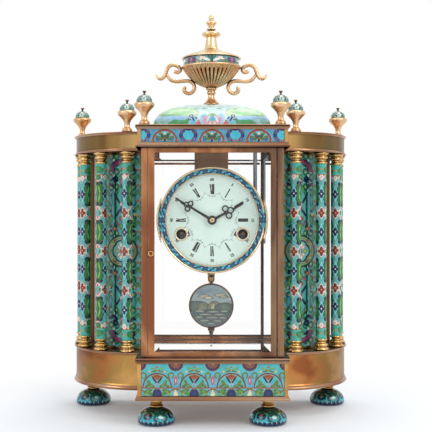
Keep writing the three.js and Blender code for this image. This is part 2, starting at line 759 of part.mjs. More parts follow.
// Meeting point of two circles, on the left of the line from a to b where side is 1.
function meet([ax, az], ra, [bx, bz], rb, side) {
  const [dx, dz] = [bx - ax, bz - az];
  const d = Math.hypot(dx, dz);
  const along = (ra * ra - rb * rb + d * d) / (2 * d);
  const off = side * Math.sqrt(ra * ra - along * along);
  return [ax + (dx * along - dz * off) / d, az + (dz * along + dx * off) / d];
}

const CENTRE = [0, 0];
const BARREL = [WIND_X, WIND_Z];
const STRIKE = [-WIND_X, WIND_Z];
const SECOND = meet(CENTRE, pitch(TRAIN.second) + pitch(TRAIN.centrePinion),
  BARREL, pitch(TRAIN.barrel) + pitch(TRAIN.secondPinion), -1);
const ESCAPE = [0, ESCAPE_Z];
const THIRD = meet(CENTRE, pitch(TRAIN.centre) + pitch(TRAIN.thirdPinion),
  ESCAPE, pitch(TRAIN.third) + pitch(TRAIN.escapePinion), 1);
const PALLET = [0, PALLET_Z];

// Toothed disc with its first tooth at an angle from the X axis, and crossings when it is a wheel.
function toothed(gear, angle, y0, y1, crossings = 0) {
  const r = pitch(gear);
  const tip = r + 0.4 * gear.module;
  const root = r - 0.8 * gear.module;
  const points = [];
  for (let i = 0; i < gear.teeth; i += 1) {
    const at = angle + (i / gear.teeth) * ROUND;
    const half = Math.PI / gear.teeth;
    points.push([tip * Math.cos(at), tip * Math.sin(at)]);
    points.push([root * Math.cos(at + half), root * Math.sin(at + half)]);
  }
  const shape = polygon(points);
  const [inner, outer] = [r * 0.3, root - 2.2];
  for (let i = 0; i < crossings; i += 1) {
    const middle = ((i + 0.5) / crossings) * ROUND;
    const spread = Math.PI / crossings - 0.22;
    const corners = [[outer, -spread], [outer, 0], [outer, spread], [inner, 0]];
    shape.holes.push(new THREE.Path(corners.map(([reach, turn]) => (
      new THREE.Vector2(reach * Math.cos(middle + turn), reach * Math.sin(middle + turn))))));
  }
  return upright(shape, y0, y1);
}

// Angle of a wheel's tooth that meets a gap of its partner on the line between their centres.
const facing = ([ax, az], [bx, bz]) => Math.atan2(bz - az, bx - ax);
const half = (gear) => Math.PI / gear.teeth;

const FRONT_INNER = FRONT_PLATE_Y + PLATE_T;
const ARBOR_ENDS = [FRONT_PLATE_Y - 0.5, BACK_PLATE_Y + PLATE_T + 0.5];
const PLATE_HOLE = ARBOR_R + SEAT;
const BARREL_ARBOR_R = 2.6;
const LAYER = { second: -28.4, centre: -23.4, third: -18, barrel: -9, escape: -7.8 };

function frontPlate() {
  const plate = disc(PLATE_R, 0, 0, 24);
  plate.holes.push(hole(PIPE_R + SEAT, ...CENTRE, 10));
  for (const [x, z] of [SECOND, THIRD, ESCAPE, PALLET]) plate.holes.push(hole(PLATE_HOLE, x, z));
  for (const [x, z] of [BARREL, STRIKE]) plate.holes.push(hole(BARREL_ARBOR_R + SEAT, x, z));
  const pillars = [[-40, 22], [40, 22], [-14, -47], [14, -47]].map(([x, z]) => (
    spindle(2.6, FRONT_INNER - 0.5, BACK_PLATE_Y - SEAT, x, z, 6)));
  return join(upright(plate, FRONT_PLATE_Y, FRONT_INNER), ...pillars);
}

// Back plate with the hanger that screws up to the ceiling, the pendulum's stud and the hammer's stud.
function backPlate() {
  const back = BACK_PLATE_Y + PLATE_T;
  const plate = disc(PLATE_R, 0, 0, 24);
  for (const [x, z] of [CENTRE, SECOND, THIRD, ESCAPE, PALLET]) plate.holes.push(hole(PLATE_HOLE, x, z));
  for (const [x, z] of [BARREL, STRIKE]) plate.holes.push(hole(BARREL_ARBOR_R + SEAT, x, z));
  const ceiling = Z_CEILING - SEAT - DIAL_Z;
  const w = HANGER_W / 2;
  return join(
    upright(plate, BACK_PLATE_Y, back),
    block(-w, w, BACK_PLATE_Y, back, 50, ceiling),
    block(-w, w, BACK_PLATE_Y, BACK_PLATE_Y + 16, ceiling - 2.5, ceiling),
    block(-5, 5, back - 0.5, PENDULUM_Y + 3, PALLET_Z + 3, PALLET_Z + 8),
    spindle(1.4, back - 0.5, GONG_Y + 3.4, HAMMER_X, HAMMER_Z, 8),
  );
}

// Spring barrel with its great wheel, on a winding arbor that ends in a square behind the dial.
function barrel([x, z], angle) {
  const y = LAYER.barrel;
  const drum = turnedBack([[0, -25.4], [16.4, -25.4], [17, -24.8], [17, y + 0.5], [0, y + 0.5]], 14);
  const square = 1.9;
  return join(
    drum,
    toothed(TRAIN.barrel, angle, y, y + WHEEL_T),
    spindle(BARREL_ARBOR_R, FRONT_PLATE_Y - 1, BACK_PLATE_Y + PLATE_T + 1, 0, 0, 10),
    block(-square, square, DIAL_Y + 1, FRONT_PLATE_Y, -square, square),
  ).translate(x, 0, z);
}

function secondWheel() {
  const y = LAYER.second;
  const toBarrel = facing(SECOND, BARREL);
  const toCentre = facing(SECOND, CENTRE);
  return join(
    toothed(TRAIN.second, toCentre, y, y + WHEEL_T, 4),
    spindle(2, y - 0.6, y + 2.2),
    toothed(TRAIN.secondPinion, toBarrel, LAYER.barrel - 0.8, LAYER.barrel + WHEEL_T + 0.8),
    spindle(ARBOR_R, ...ARBOR_ENDS),
  ).translate(SECOND[0], 0, SECOND[1]);
}

function centreWheel() {
  const y = LAYER.centre;
  const toSecond = facing(CENTRE, SECOND) + half(TRAIN.centrePinion);
  return join(
    toothed(TRAIN.centre, facing(CENTRE, THIRD), y, y + WHEEL_T, 4),
    spindle(2, y - 0.6, y + 2.2),
    toothed(TRAIN.centrePinion, toSecond, -29, LAYER.second + WHEEL_T + 0.6),
    spindle(ARBOR_R, MINUTE_Y - 2.4, ARBOR_ENDS[1], 0, 0, 12),
  );
}

function thirdWheel() {
  const y = LAYER.third;
  const toCentre = facing(THIRD, CENTRE) + half(TRAIN.thirdPinion);
  return join(
    toothed(TRAIN.third, facing(THIRD, ESCAPE), y, y + WHEEL_T, 4),
    spindle(2, y - 0.6, y + 2.2),
    toothed(TRAIN.thirdPinion, toCentre, LAYER.centre - 0.8, LAYER.centre + 2),
    spindle(0.9, ...ARBOR_ENDS),
  ).translate(THIRD[0], 0, THIRD[1]);
}

// Escape wheel: teeth raked like a saw's, each a point and a root.
function escapeWheel() {
  const y = LAYER.escape;
  const r = pitch(TRAIN.escape);
  const inner = r - 1.5;
  const points = [];
  for (let i = 0; i < TRAIN.escape.teeth; i += 1) {
    const at = (-i / TRAIN.escape.teeth) * ROUND;
    const root = at - half(TRAIN.escape) * 0.5;
    points.push([r * Math.cos(at), r * Math.sin(at)]);
    points.push([inner * Math.cos(root), inner * Math.sin(root)]);
  }
  const toThird = facing(ESCAPE, THIRD) + half(TRAIN.escapePinion);
  return join(
    upright(polygon(points), y, y + 1),
    spindle(1.8, y - 1.4, y + 1.4, 0, 0, 10),
    toothed(TRAIN.escapePinion, toThird, LAYER.third - 0.8, LAYER.third + 2),
    spindle(0.8, ...ARBOR_ENDS),
  ).translate(ESCAPE[0], 0, ESCAPE[1]);
}

// Anchor over the escape wheel, its arbor through the back plate, and the crutch with its fork.
// The pallets stand clear of the teeth, because wheel and pendulum turn as they like here.
function anchor() {
  const y = LAYER.escape - 0.4;
  const drop = PALLET_Z - ESCAPE_Z;
  const reach = pitch(TRAIN.escape) + 1.7;
  const span = radians(49);
  const [px, pz] = [reach * Math.sin(span), reach * Math.cos(span) - drop];
  const arm = new THREE.Shape();
  arm.moveTo(px - 0.4, pz - 0.4);
  arm.lineTo(px + 1.4, pz + 0.6);
  arm.quadraticCurveTo(px + 1, pz + 6, 0, 2.6);
  arm.quadraticCurveTo(-px - 1, pz + 6, -px - 1.4, pz + 0.6);
  arm.lineTo(-px + 0.4, pz - 0.4);
  arm.quadraticCurveTo(-px + 1, pz + 3.6, 0, -2.2);
  arm.quadraticCurveTo(px - 1, pz + 3.6, px - 0.4, pz - 0.4);
  const crutchY = BACK_PLATE_Y + PLATE_T + 1;
  const fork = ROD_W / 2 + SEAT;
  const low = -36;
  return join(
    upright(arm, y, y + 1.8, 6),
    spindle(0.9, FRONT_PLATE_Y - 0.5, crutchY + 1, 0, 0, 8),
    upright(disc(2.2, 0, 0, 10), crutchY, crutchY + 1.2),
    block(-1.2, 1.2, crutchY, crutchY + 1.2, low, 0),
    block(-fork - 1.2, fork + 1.2, crutchY, crutchY + 1.2, low - 1.6, low + 0.8),
    block(-fork - 1.2, -fork, crutchY, PENDULUM_Y + 2.4, low - 1.6, low + 0.8),
    block(fork, fork + 1.2, crutchY, PENDULUM_Y + 2.4, low - 1.6, low + 0.8),
  );
}

// Pendulum, drawn from its axis downwards

const BOB_Z = -PENDULUM_L;
const ROD_END = BOB_Z - BOB_R - 8;
const FERRULE_Z = BOB_Z + BOB_R;

// Flat rod, turned ferrule above the bob, and the round rod that runs through the bob.
function pendulumRod() {
  const y0 = PENDULUM_Y - ROD_T / 2;
  const ferrule = turned([[0, 1], [2.4, 1], [4.2, 4], [4.2, 8], [3, 10.4], [0, 10.4]], 12);
  return join(
    block(-ROD_W / 2, ROD_W / 2, y0, y0 + ROD_T, FERRULE_Z + 9, 2),
    ferrule.translate(0, PENDULUM_Y, FERRULE_Z),
    peg(THREAD_R, ROD_END, FERRULE_Z + 2, 0, PENDULUM_Y, 8),
  );
}

// Lens-shaped bob, bored for the rod.
function pendulumBob() {
  const lens = turnedBack([
    [0, -BOB_T / 2], [23.4, -BOB_T / 2 + 1], [24, -BOB_T / 2 + 0.2], [BOB_R, -1.6],
    [BOB_R, 1.6], [12, BOB_T / 2], [0, BOB_T / 2],
  ], 22).translate(0, PENDULUM_Y, BOB_Z);
  return cut(lens, peg(THREAD_R + SEAT, BOB_Z - BOB_R - 1, BOB_Z + BOB_R + 1, 0, PENDULUM_Y, 10));
}

// Milled nut under the bob, drawn out to a point below.
function ratingNut() {
  const top = BOB_Z - BOB_R - SEAT;
  const body = turned([
    [0, -13.4], [0.9, -12.6], [2.4, -6.4], [3.2, -4.6], [2.4, -3.8], [4.2, -3.2], [4.2, 0], [0, 0],
  ], 12).translate(0, PENDULUM_Y, top);
  return cut(body, peg(THREAD_R + SEAT, ROD_END - SEAT, top + 1, 0, PENDULUM_Y, 10));
}

// Strike

function gong() {
  const top = Z_CEILING - SEAT;
  return join(
    block(-6, 6, -5, 5, top - 9, top),
    peg(GONG_R, top - GONG_L - 8, top - 8, 0, 0, 12),
  );
}

// Hub on the back plate's stud, arm, and a round head beside the gong rod.
function hammer() {
  const hub = disc(3.4, 0, 0, 12);
  const [x, z] = [GONG_X - GONG_R - HAMMER_X - 5.6, -17];
  const y = GONG_Y;
  const length = Math.hypot(x, z);
  const arm = block(0, length, y - 0.8, y + 0.8, -1.1, 1.1).rotateY(Math.atan2(-z, x));
  const head = new THREE.CylinderGeometry(4, 4, 10, 14).rotateZ(Math.PI / 2).translate(x, y, z);
  return cut(
    join(upright(hub, y - 3, y + 3), arm, head),
    spindle(1.4 + SEAT, y - 4, y + 4, 0, 0, 12),
  );
}

// Assembly

function assembleBase() {
  const base = new THREE.Group();
  place(base, 'base_plate', basePlate(), bronze);
  place(base, 'base_box', baseBox(), gilt);
  place(base, 'base_front_panel', frontPanel(Z_BASE_WALL + SEAT, Z_FLOOR - FLOOR_T - SEAT), enamel);
  for (const [name, side] of [['left', -1], ['right', 1]]) {
    place(base, `front_foot_${name}`, foot(), darkEnamel, side * FRONT_FOOT_X, Y_EDGE + FRONT_FOOT_IN, 0);
    place(base, `wing_foot_${name}`, foot(), darkEnamel, side * WING_FOOT_X, WING_FOOT_Y, 0);
  }
  clock.add(base);
}

function assembleWings() {
  for (const [name, side] of [['left', -1], ['right', 1]]) {
    const wing = new THREE.Group();
    COLUMN_ANGLES.forEach((degrees, i) => {
      const [x, y] = columnPlace(degrees);
      place(wing, `column_${name}_${i + 1}`, column(), enamel, side * x, y, Z_WING_FLOOR + SEAT);
    });
    place(wing, `wing_shell_${name}`, side > 0 ? wingShell() : mirrored(wingShell()), enamel);
    for (const [spot, degrees] of [['inner', COLUMN_ANGLES[0]], ['outer', COLUMN_ANGLES[3]]]) {
      const [x, y] = columnPlace(degrees);
      place(wing, `finial_${name}_${spot}`, finial(), gilt, side * x, y, Z_WING_TOP + SEAT);
    }
    clock.add(wing);
  }
}

function assembleTop() {
  const top = new THREE.Group();
  place(top, 'ceiling_plate', ceilingPlate(), gilt);
  place(top, 'top_box', topBox(), gilt);
  place(top, 'top_front_panel', frontPanel(Z_TOP_WALL + SEAT, Z_TOP - TOP_PLATE_T - SEAT), enamel);
  for (const [name, side] of [['left', -1], ['right', 1]]) {
    place(top, `finial_${name}_front`, finial(), gilt, side * FRONT_FINIAL_X, Y_POST + 3, Z_TOP + SEAT);
  }
  place(top, 'dome', dome(), paleEnamel, 0, 0, Z_TOP + SEAT);
  const urn = new THREE.Group();
  urn.position.set(0, 0, Z_TOP + SEAT + DOME_H + SEAT);
  place(urn, 'urn_bowl', urnBowl(), gilt);
  place(urn, 'urn_lid', urnLid(), gilt, 0, 0, URN_RIM_Z + SEAT);
  top.add(urn);
  clock.add(top);
}

function assembleCase() {
  const body = new THREE.Group();
  const x = X_POST - POST;
  const back = Y_BACK - SEAT;
  place(body, 'post_front_right', post(), bronze, x, Y_POST, 0);
  place(body, 'post_front_left', mirrored(post()), bronze, -x, Y_POST, 0);
  place(body, 'post_back_right', closed(post().scale(1, -1, 1)), bronze, x, back, 0);
  place(body, 'post_back_left', post().rotateZ(Math.PI), bronze, -x, back, 0);
  place(body, 'side_pane_right', sidePane(), glass, x + POST / 2, 0, 0);
  place(body, 'side_pane_left', mirrored(sidePane()), glass, -x - POST / 2, 0, 0);
  place(body, 'front_door_frame', doorFrame(), bronze);
  place(body, 'front_door_pane', doorPane(), glass);
  place(body, 'front_door_button', doorButton(), gilt);
  place(body, 'back_door_frame', turnedRound(doorFrame()), bronze);
  place(body, 'back_door_pane', turnedRound(doorPane()), glass);
  place(body, 'back_door_button', turnedRound(doorButton()), gilt);
  clock.add(body);
}

function assembleMovement() {
  const movement = new THREE.Group();
  movement.position.set(0, 0, DIAL_Z);
  place(movement, 'dial', dial(), dialWhite);
  place(movement, 'bezel', bezel(), gilt);
  place(movement, 'hour_hand', hourHand(), blued);
  place(movement, 'minute_hand', minuteHand(), blued);
  place(movement, 'movement_front_plate', frontPlate(), gilt);
  place(movement, 'movement_back_plate', backPlate(), gilt);
  const toSecond = facing(BARREL, SECOND) + half(TRAIN.barrel);
  place(movement, 'going_barrel', barrel(BARREL, toSecond), gilt);
  place(movement, 'strike_barrel', barrel(STRIKE, 0), gilt);
  place(movement, 'second_wheel', secondWheel(), gilt);
  place(movement, 'centre_wheel', centreWheel(), gilt);
  place(movement, 'third_wheel', thirdWheel(), gilt);
  place(movement, 'escape_wheel', escapeWheel(), gilt);
  place(movement, 'anchor', anchor(), steel, 0, 0, PALLET_Z);
  place(movement, 'pendulum_rod', pendulumRod(), gilt, 0, 0, PALLET_Z);
  place(movement, 'pendulum_bob', pendulumBob(), darkEnamel, 0, 0, PALLET_Z);
  place(movement, 'rating_nut', ratingNut(), gilt, 0, 0, PALLET_Z);
  place(movement, 'hammer', hammer(), steel, HAMMER_X, 0, HAMMER_Z);
  clock.add(movement);
  place(clock, 'gong', gong(), steel, GONG_X, GONG_Y, 0);
}

assembleBase();
assembleWings();
assembleTop();
assembleCase();
assembleMovement();

export default clock;
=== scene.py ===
# %% [markdown]
# # A pendulum mantel clock in brass and cloisonne
# The real clock is brass that was cast, turned and bent, set with panels of cloisonne: copper sheet with
# thin brass wires soldered on edge, and coloured glass melted into the cells between them. The packed
# model already holds every solid in its place and on its joint. Here each one gets its finish, and the
# ones whose facets would show are laid over with smooth surfaces worked out from the same sizes.

# %% Load the fixed frame
import json
import math
import bmesh
import bpy
import numpy as np
from mathutils import Matrix, Vector

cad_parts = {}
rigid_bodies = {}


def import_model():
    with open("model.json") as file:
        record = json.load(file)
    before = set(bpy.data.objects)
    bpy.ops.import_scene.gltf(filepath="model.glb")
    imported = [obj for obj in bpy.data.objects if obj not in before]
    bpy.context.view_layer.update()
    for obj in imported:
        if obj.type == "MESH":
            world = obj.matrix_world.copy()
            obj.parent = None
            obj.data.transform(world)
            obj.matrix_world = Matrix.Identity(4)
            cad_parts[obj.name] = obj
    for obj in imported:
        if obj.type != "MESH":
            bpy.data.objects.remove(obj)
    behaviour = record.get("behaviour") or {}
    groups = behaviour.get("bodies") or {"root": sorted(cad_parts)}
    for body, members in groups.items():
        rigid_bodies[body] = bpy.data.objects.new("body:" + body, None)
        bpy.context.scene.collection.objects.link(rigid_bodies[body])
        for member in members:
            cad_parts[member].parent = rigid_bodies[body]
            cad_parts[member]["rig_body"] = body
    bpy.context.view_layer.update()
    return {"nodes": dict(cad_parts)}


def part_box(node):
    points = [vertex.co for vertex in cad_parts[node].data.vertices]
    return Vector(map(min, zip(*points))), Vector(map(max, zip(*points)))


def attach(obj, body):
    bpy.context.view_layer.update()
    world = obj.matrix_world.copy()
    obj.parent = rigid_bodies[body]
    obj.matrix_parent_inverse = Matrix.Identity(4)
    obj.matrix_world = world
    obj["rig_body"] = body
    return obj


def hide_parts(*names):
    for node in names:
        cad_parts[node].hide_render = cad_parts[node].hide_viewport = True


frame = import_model()
MM = 0.001
scene = bpy.context.scene


def span(node):
    """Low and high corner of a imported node's box, in mm."""
    return [np.array(corner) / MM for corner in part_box(node)]


PLATE_TOP = span("base_plate")[1][2]
WALL_LOW, FLOOR = (corner[2] for corner in span("base_box"))
CEILING, CEILING_TOP = (corner[2] for corner in span("ceiling_plate"))
TOP = span("top_box")[1][2]
WING_FLOOR, WING_TOP = FLOOR - 3, TOP - 2  # the wings' own decks lie a little below the block's
print("levels", PLATE_TOP, WALL_LOW, FLOOR, CEILING, TOP)

# %% [markdown]
# ## Camera
# The photograph was taken level, with the lens at two thirds of the clock's height and a little to its
# left, so the right flank of the case hardly shows. A lens shift brings the clock back to the middle of
# the frame and keeps its upright edges upright, which turning the camera would not do.

# %% Camera
FRONT_Y = -82.5  # front edge of the plates, mm
DISTANCE = 994  # lens to that edge, mm
EYE_X, EYE_Z = -22, 238.2  # place of the lens across and up, mm
camera_data = bpy.data.cameras.new("photograph")
camera_data.sensor_width = 36
camera_data.lens = 73.3
camera_data.shift_x = 0.0525
camera_data.shift_y = 0.0056
camera = bpy.data.objects.new("photograph", camera_data)
camera.location = (EYE_X * MM, (FRONT_Y - DISTANCE) * MM, EYE_Z * MM)
camera.rotation_euler = (math.radians(90), 0, 0)
scene.collection.objects.link(camera)
scene.camera = camera
scene.view_settings.view_transform = "Standard"
print("camera at", tuple(camera.location))

# %% [markdown]
# ## Helpers for materials
# Every colour is written as the sRGB hex value that a picture shows, and turned to the linear light that
# the renderer adds up. One function adds a node, sets it up and joins it to what feeds it. No real surface
# has one even tone, so the plain finishes wander softly between two.

# %% Colour and node helpers
def linear(hex_colour):
    """Linear RGBA of an sRGB hex colour: c / 12.92 up to 0.04045, above it ((c + 0.055) / 1.055) ** 2.4."""
    srgb = np.array([int(hex_colour[i:i + 2], 16) for i in (0, 2, 4)]) / 255
    return (*np.where(srgb <= 0.04045, srgb / 12.92, ((srgb + 0.055) / 1.055) ** 2.4), 1.0)


def add_node(tree, kind, inputs=(), out=0, **settings):
    """Add a node with its settings; inputs pairs a socket's name or number with a value or with a socket."""
    node = tree.nodes.new(kind)
    for name, value in settings.items():
        setattr(node, name, value)
    for key, value in dict(inputs).items():
        if isinstance(value, bpy.types.NodeSocket):
            tree.links.new(value, node.inputs[key])
        else:
            node.inputs[key].default_value = value
    return node.outputs[out]


def new_material(name, **sockets):
    """A material with its node tree and shader; sockets sets the shader's own, with _ for a space."""
    material = bpy.data.materials.new(name)
    material.use_nodes = True
    tree = material.node_tree
    shader = tree.nodes["Principled BSDF"]
    for socket, value in sockets.items():
        shader.inputs[socket.replace("_", " ")].default_value = value
    return material, tree, shader


def mottled(name, tones, scale, detail=3, gloss=None, **sockets):
    """A material whose colour wanders between two tones, in scale patches a metre. gloss = (low, high) lets
    the roughness wander with it."""
    material, tree, shader = new_material(name, **sockets)
    place = add_node(tree, "ShaderNodeTexCoord", out=3)
    cloud = add_node(tree, "ShaderNodeTexNoise", {"Vector": place, "Scale": scale, "Detail": detail})
    tone = add_node(tree, "ShaderNodeMix", {0: cloud, 6: linear(tones[0]), 7: linear(tones[1])}, out=2,
                    data_type="RGBA")
    tree.links.new(tone, shader.inputs["Base Color"])
    if gloss:
        rough = add_node(tree, "ShaderNodeMapRange", {"Value": cloud, "To Min": gloss[0], "To Max": gloss[1]})
        tree.links.new(rough, shader.inputs["Roughness"])
    return material


print("navy is", [round(c, 3) for c in linear("1E2A5E")])

# %% [markdown]
# ## What the camera, metal and glass see
# The room lights the clock plainly, but the background should be white. So the world and the floor ask
# which kind of ray has come: one from the camera, from a mirror-like surface or through glass sees white.
# The panes use the same marks to tell which rays they bend.

# %% Rays that see the white background
def sees_background(tree):
    """1 for camera, glossy and transmission rays, 0 for the rest: the largest of the three marks."""
    add_node(tree, "ShaderNodeLightPath")
    marks = tree.nodes[-1].outputs
    two = add_node(tree, "ShaderNodeMath", {0: marks["Is Camera Ray"], 1: marks["Is Glossy Ray"]},
                   operation="MAXIMUM")
    return add_node(tree, "ShaderNodeMath", {0: two, 1: marks["Is Transmission Ray"]}, operation="MAXIMUM")


print("background rays ready")

# %% [markdown]
# ## Brass
# One alloy, finished in many ways. Columns' bases, urn, finials and rings are cast or turned, then polished
# and gilt, from a deep yellow to nearly white. The wide bands are rolled sheet whose lacquer has aged to
# clouds of orange or olive. Posts and doors are drawn bar under a coppery lacquer, and the clock's plates
# are grained with emery. In all of them the colour darkens to brown where the surface looks into a corner a
# few millimetres deep: partly tarnish that polish never reaches in the grooves, partly painted shade. On the
# bands and posts the colour is also darkened or cooled along x, as painted shade. A noise through a ramp of
# tones gives the clouds, and an image of real brass would repeat where this does not.

# %% Brass finishes
def brass(name, tones, tarnish_and_shade, roughness, patch, streak=(1, 1, 1), depth=0.05, reach=4, power=1.6,
          shade_along_x=None):
    """A metal whose colour wanders between tones in patches of the given size in mm.

    The third argument is the colour in corners, partly tarnish and partly painted shade: the share of open
    sky over a point within reach mm, raised to power, blends it out. streak stretches the patches along an
    axis. The last argument, (start, near, far, tint), paints shade along x: beyond near mm from x = start
    the colour darkens, until the tint multiplies it at far mm. Roughness rises a little in the darker
    patches, and a fine noise moves the surface by hundredths of a millimetre, as polishing does.
    """
    material, tree, shader = new_material(name, Metallic=1)
    place = add_node(tree, "ShaderNodeTexCoord", out=3)
    along = add_node(tree, "ShaderNodeMapping", {0: place, 3: streak})
    cloud = add_node(tree, "ShaderNodeTexNoise",
                     {"Vector": along, "Scale": 1000 / patch, "Detail": 3, "Roughness": 0.45})
    ramp = tree.nodes.new("ShaderNodeValToRGB")
    tree.links.new(cloud, ramp.inputs[0])
    stops = np.linspace(0.34, 0.66, len(tones))
    for i, (at, tone) in enumerate(zip(stops, tones)):
        stop = ramp.color_ramp.elements[i] if i < 2 else ramp.color_ramp.elements.new(at)
        stop.position, stop.color = at, linear(tone)
    # painted shade, partly tarnish: the colour darkens towards the corner colour where little open sky is
    # near
    sky = add_node(tree, "ShaderNodeAmbientOcclusion", {"Distance": reach * MM}, out=1, samples=6)
    unshaded_share = add_node(tree, "ShaderNodeMath", {0: sky, 1: power}, operation="POWER")
    colour = add_node(tree, "ShaderNodeMix", {0: unshaded_share, 6: linear(tarnish_and_shade), 7: ramp.outputs[0]}, out=2,
                      data_type="RGBA")
    # painted shade: the colour darkens or cools with distance along x from start, where the surface turns
    # from the light
    if shade_along_x:
        start, near, far, tint = shade_along_x
        aside = add_node(tree, "ShaderNodeSeparateXYZ", {0: place})
        signed = add_node(tree, "ShaderNodeMath", {0: aside, 1: start * MM}, operation="SUBTRACT")
        off = add_node(tree, "ShaderNodeMath", {0: signed}, operation="ABSOLUTE")
        share = add_node(tree, "ShaderNodeMapRange",
                         {"Value": off, "From Min": near * MM, "From Max": far * MM},
                         interpolation_type="SMOOTHSTEP")
        colour = add_node(tree, "ShaderNodeMix", {0: share, 6: colour, 7: linear(tint)}, out=2,
                          data_type="RGBA", blend_type="MULTIPLY")
    tree.links.new(colour, shader.inputs["Base Color"])
    rough = add_node(tree, "ShaderNodeMapRange",
                     {"Value": cloud, "To Min": roughness * 1.25, "To Max": roughness * 0.8})
    tree.links.new(rough, shader.inputs["Roughness"])
    fine = add_node(tree, "ShaderNodeTexNoise", {"Vector": along, "Scale": 1000 / 1.5, "Detail": 2})
    bump = add_node(tree, "ShaderNodeBump", {"Strength": depth, "Distance": 0.0002, "Height": fine})
    tree.links.new(bump, shader.inputs["Normal"])
    return material


gilt = brass("gilt_brass_polished", ["C89C58", "E6C084"], "4A2A10", 0.2, 30, power=2)
satin = brass("gilt_brass_satin", ["CFA274", "E8C39A"], "5E3A20", 0.3, 24, reach=5, power=2.2)
pale = brass("gilt_brass_pale", ["D6B68A", "EED6AE"], "6E5230", 0.26, 24, reach=3)
# painted shade: the base band darkens towards its bowed ends, where it turns from the light
aged = brass("sheet_brass_aged_lacquer_shaded_ends", ["A0603A", "C6844E", "B48C50", "D8A464"], "5A3A1A", 0.32, 44,
             depth=0.02, shade_along_x=(0, 90, 146, "C5C5C5"))
# painted shade: the top band darkens towards its bowed ends, where it turns from the light
olive = brass("sheet_brass_olive_lacquer", ["A8824E", "C79E62", "B89A6C"], "4E3A20", 0.3, 30,
              streak=(1, 1, 0.25), depth=0.02, shade_along_x=(0, 90, 116, "9E9E9E"))
# painted light: the posts and frames turn cooler and greyer towards the right-hand side, for the other light
# there
bronzed = brass("bar_brass_copper_lacquer", ["74492F", "9C6A48", "8A5C42", "BC845A", "8C563E"], "50362A",
                0.22, 50, streak=(1, 1, 0.3), depth=0.02, power=1.3, shade_along_x=(-70, 60, 136, "CBE4FF"))
edging = brass("plate_edge_brass_dull", ["926850", "AA8062", "B8967C"], "4A3020", 0.28, 30,
               streak=(0.2, 1, 1), depth=0.02)
backing = brass("sheet_brass_brown_lacquer", ["8E6C48", "9C7852"], "4A3020", 0.34, 70, depth=0.02)
plate = brass("clock_plate_brass_grained", ["A07C4C", "BC965E"], "5A3E1C", 0.3, 18, streak=(1, 1, 0.3))
# a darker copy of the plate brass: painted shade on the movement's back plate and barrels, which lie in
# shade; also the brown of the finials' knobs, the rating nut and the bob's rim
brown_brass_and_painted_shade = brass("clock_plate_brass_brown_and_shaded", ["6A503A", "7E6048"], "3A2818", 0.3, 18, streak=(1, 1, 0.3))
print("brass", [m.name for m in (gilt, satin, pale, aged, olive, bronzed, edging, backing, plate, brown_brass_and_painted_shade)])

# %% [markdown]
# Gong, hammer and anchor are ground steel: one tone, with grinding marks a millimetre apart that vary its
# gloss more than its colour.

# %% Ground steel
ground, tree, shader = new_material("ground_steel", Metallic=1)
place = add_node(tree, "ShaderNodeTexCoord", out=3)
marks = add_node(tree, "ShaderNodeTexNoise", {"Vector": place, "Scale": 900, "Detail": 2})
rough = add_node(tree, "ShaderNodeMapRange", {"Value": marks, "To Min": 0.24, "To Max": 0.39})
tint = add_node(tree, "ShaderNodeHueSaturation", {"Color": linear("9A9BA0"), "Value": rough, "Fac": 0.05})
tree.links.new(tint, shader.inputs["Base Color"])
tree.links.new(rough, shader.inputs["Roughness"])
print("steel", ground.name)

# %% [markdown]
# ## Glass
# The panes are thick plate with wide ground edges, which bend what is behind them and flash white. Eye,
# mirror and glass rays therefore refract as in real glass. Light on its way into the case passes straight
# through instead, because refracted lamp light would reach the dial only as noise.

# %% Glass
glass, tree, shader = new_material("bevelled_plate_glass", Base_Color=(1, 1, 1, 1), IOR=1.5,
                                   Transmission_Weight=1)
shader.inputs["Specular Tint"].default_value = linear("A0A0A0")  # it faces a dim room and mirrors little
place = add_node(tree, "ShaderNodeTexCoord", out=3)
drawn = add_node(tree, "ShaderNodeTexNoise", {"Vector": place, "Scale": 14})
smear = add_node(tree, "ShaderNodeMapRange", {"Value": drawn, "To Min": 0.0, "To Max": 0.03})
tree.links.new(smear, shader.inputs["Roughness"])
clear = add_node(tree, "ShaderNodeBsdfTransparent")
both = add_node(tree, "ShaderNodeMixShader", {0: sees_background(tree), 1: clear, 2: shader.outputs[0]})
tree.links.new(both, tree.nodes["Material Output"].inputs[0])
print("glass", glass.name)

# %% [markdown]
# ## Cloisonne
# A pattern of cells is drawn by laying one cell over another, as the maker fills them. A cell is an ellipse
# or a diamond at a place in millimetres, with its own colours from middle to edge and a brass wire round
# it. Coordinates can be folded first, so that one cell gives two mirrored ones, or wrapped, so that a tile
# repeats. All of it runs in the shader, so the wires stay sharp at any distance. Real wires are 0.2 mm
# wide, which would vanish here, so they are drawn about twice that.

# %% Cells
WIRE = "A67C40"
NAVY, DARK, BLUE, TURQUOISE = "1B2858", "0F1A30", "4A86C4", "48B4BA"
GREEN, DARK_GREEN = "4B9A4C", "1C5A3E"
RED, ROSE, WHITE, CREAM = "93282C", "E59AB0", "F1EEE2", "EBDCB4"
PURPLE, UMBER = "5E3350", "87442F"


def surface_mm(tree):
    """The surface's own UV map, which every enamelled piece holds in metres, as millimetres."""
    own = add_node(tree, "ShaderNodeUVMap", uv_map="UVMap")
    return add_node(tree, "ShaderNodeVectorMath", {0: own, 1: (1000, 1000, 0)}, operation="MULTIPLY")


def wrapped(tree, point, period, start=(0, 0)):
    """Move a point into the tile round zero: subtract start, then whole periods."""
    moved = add_node(tree, "ShaderNodeVectorMath", {0: point, 1: (*start, 0)}, operation="SUBTRACT")
    high = (period[0] / 2, period[1] / 2, 1)
    low = tuple(-value for value in high)
    return add_node(tree, "ShaderNodeVectorMath", {0: moved, 1: high, 2: low}, operation="WRAP")


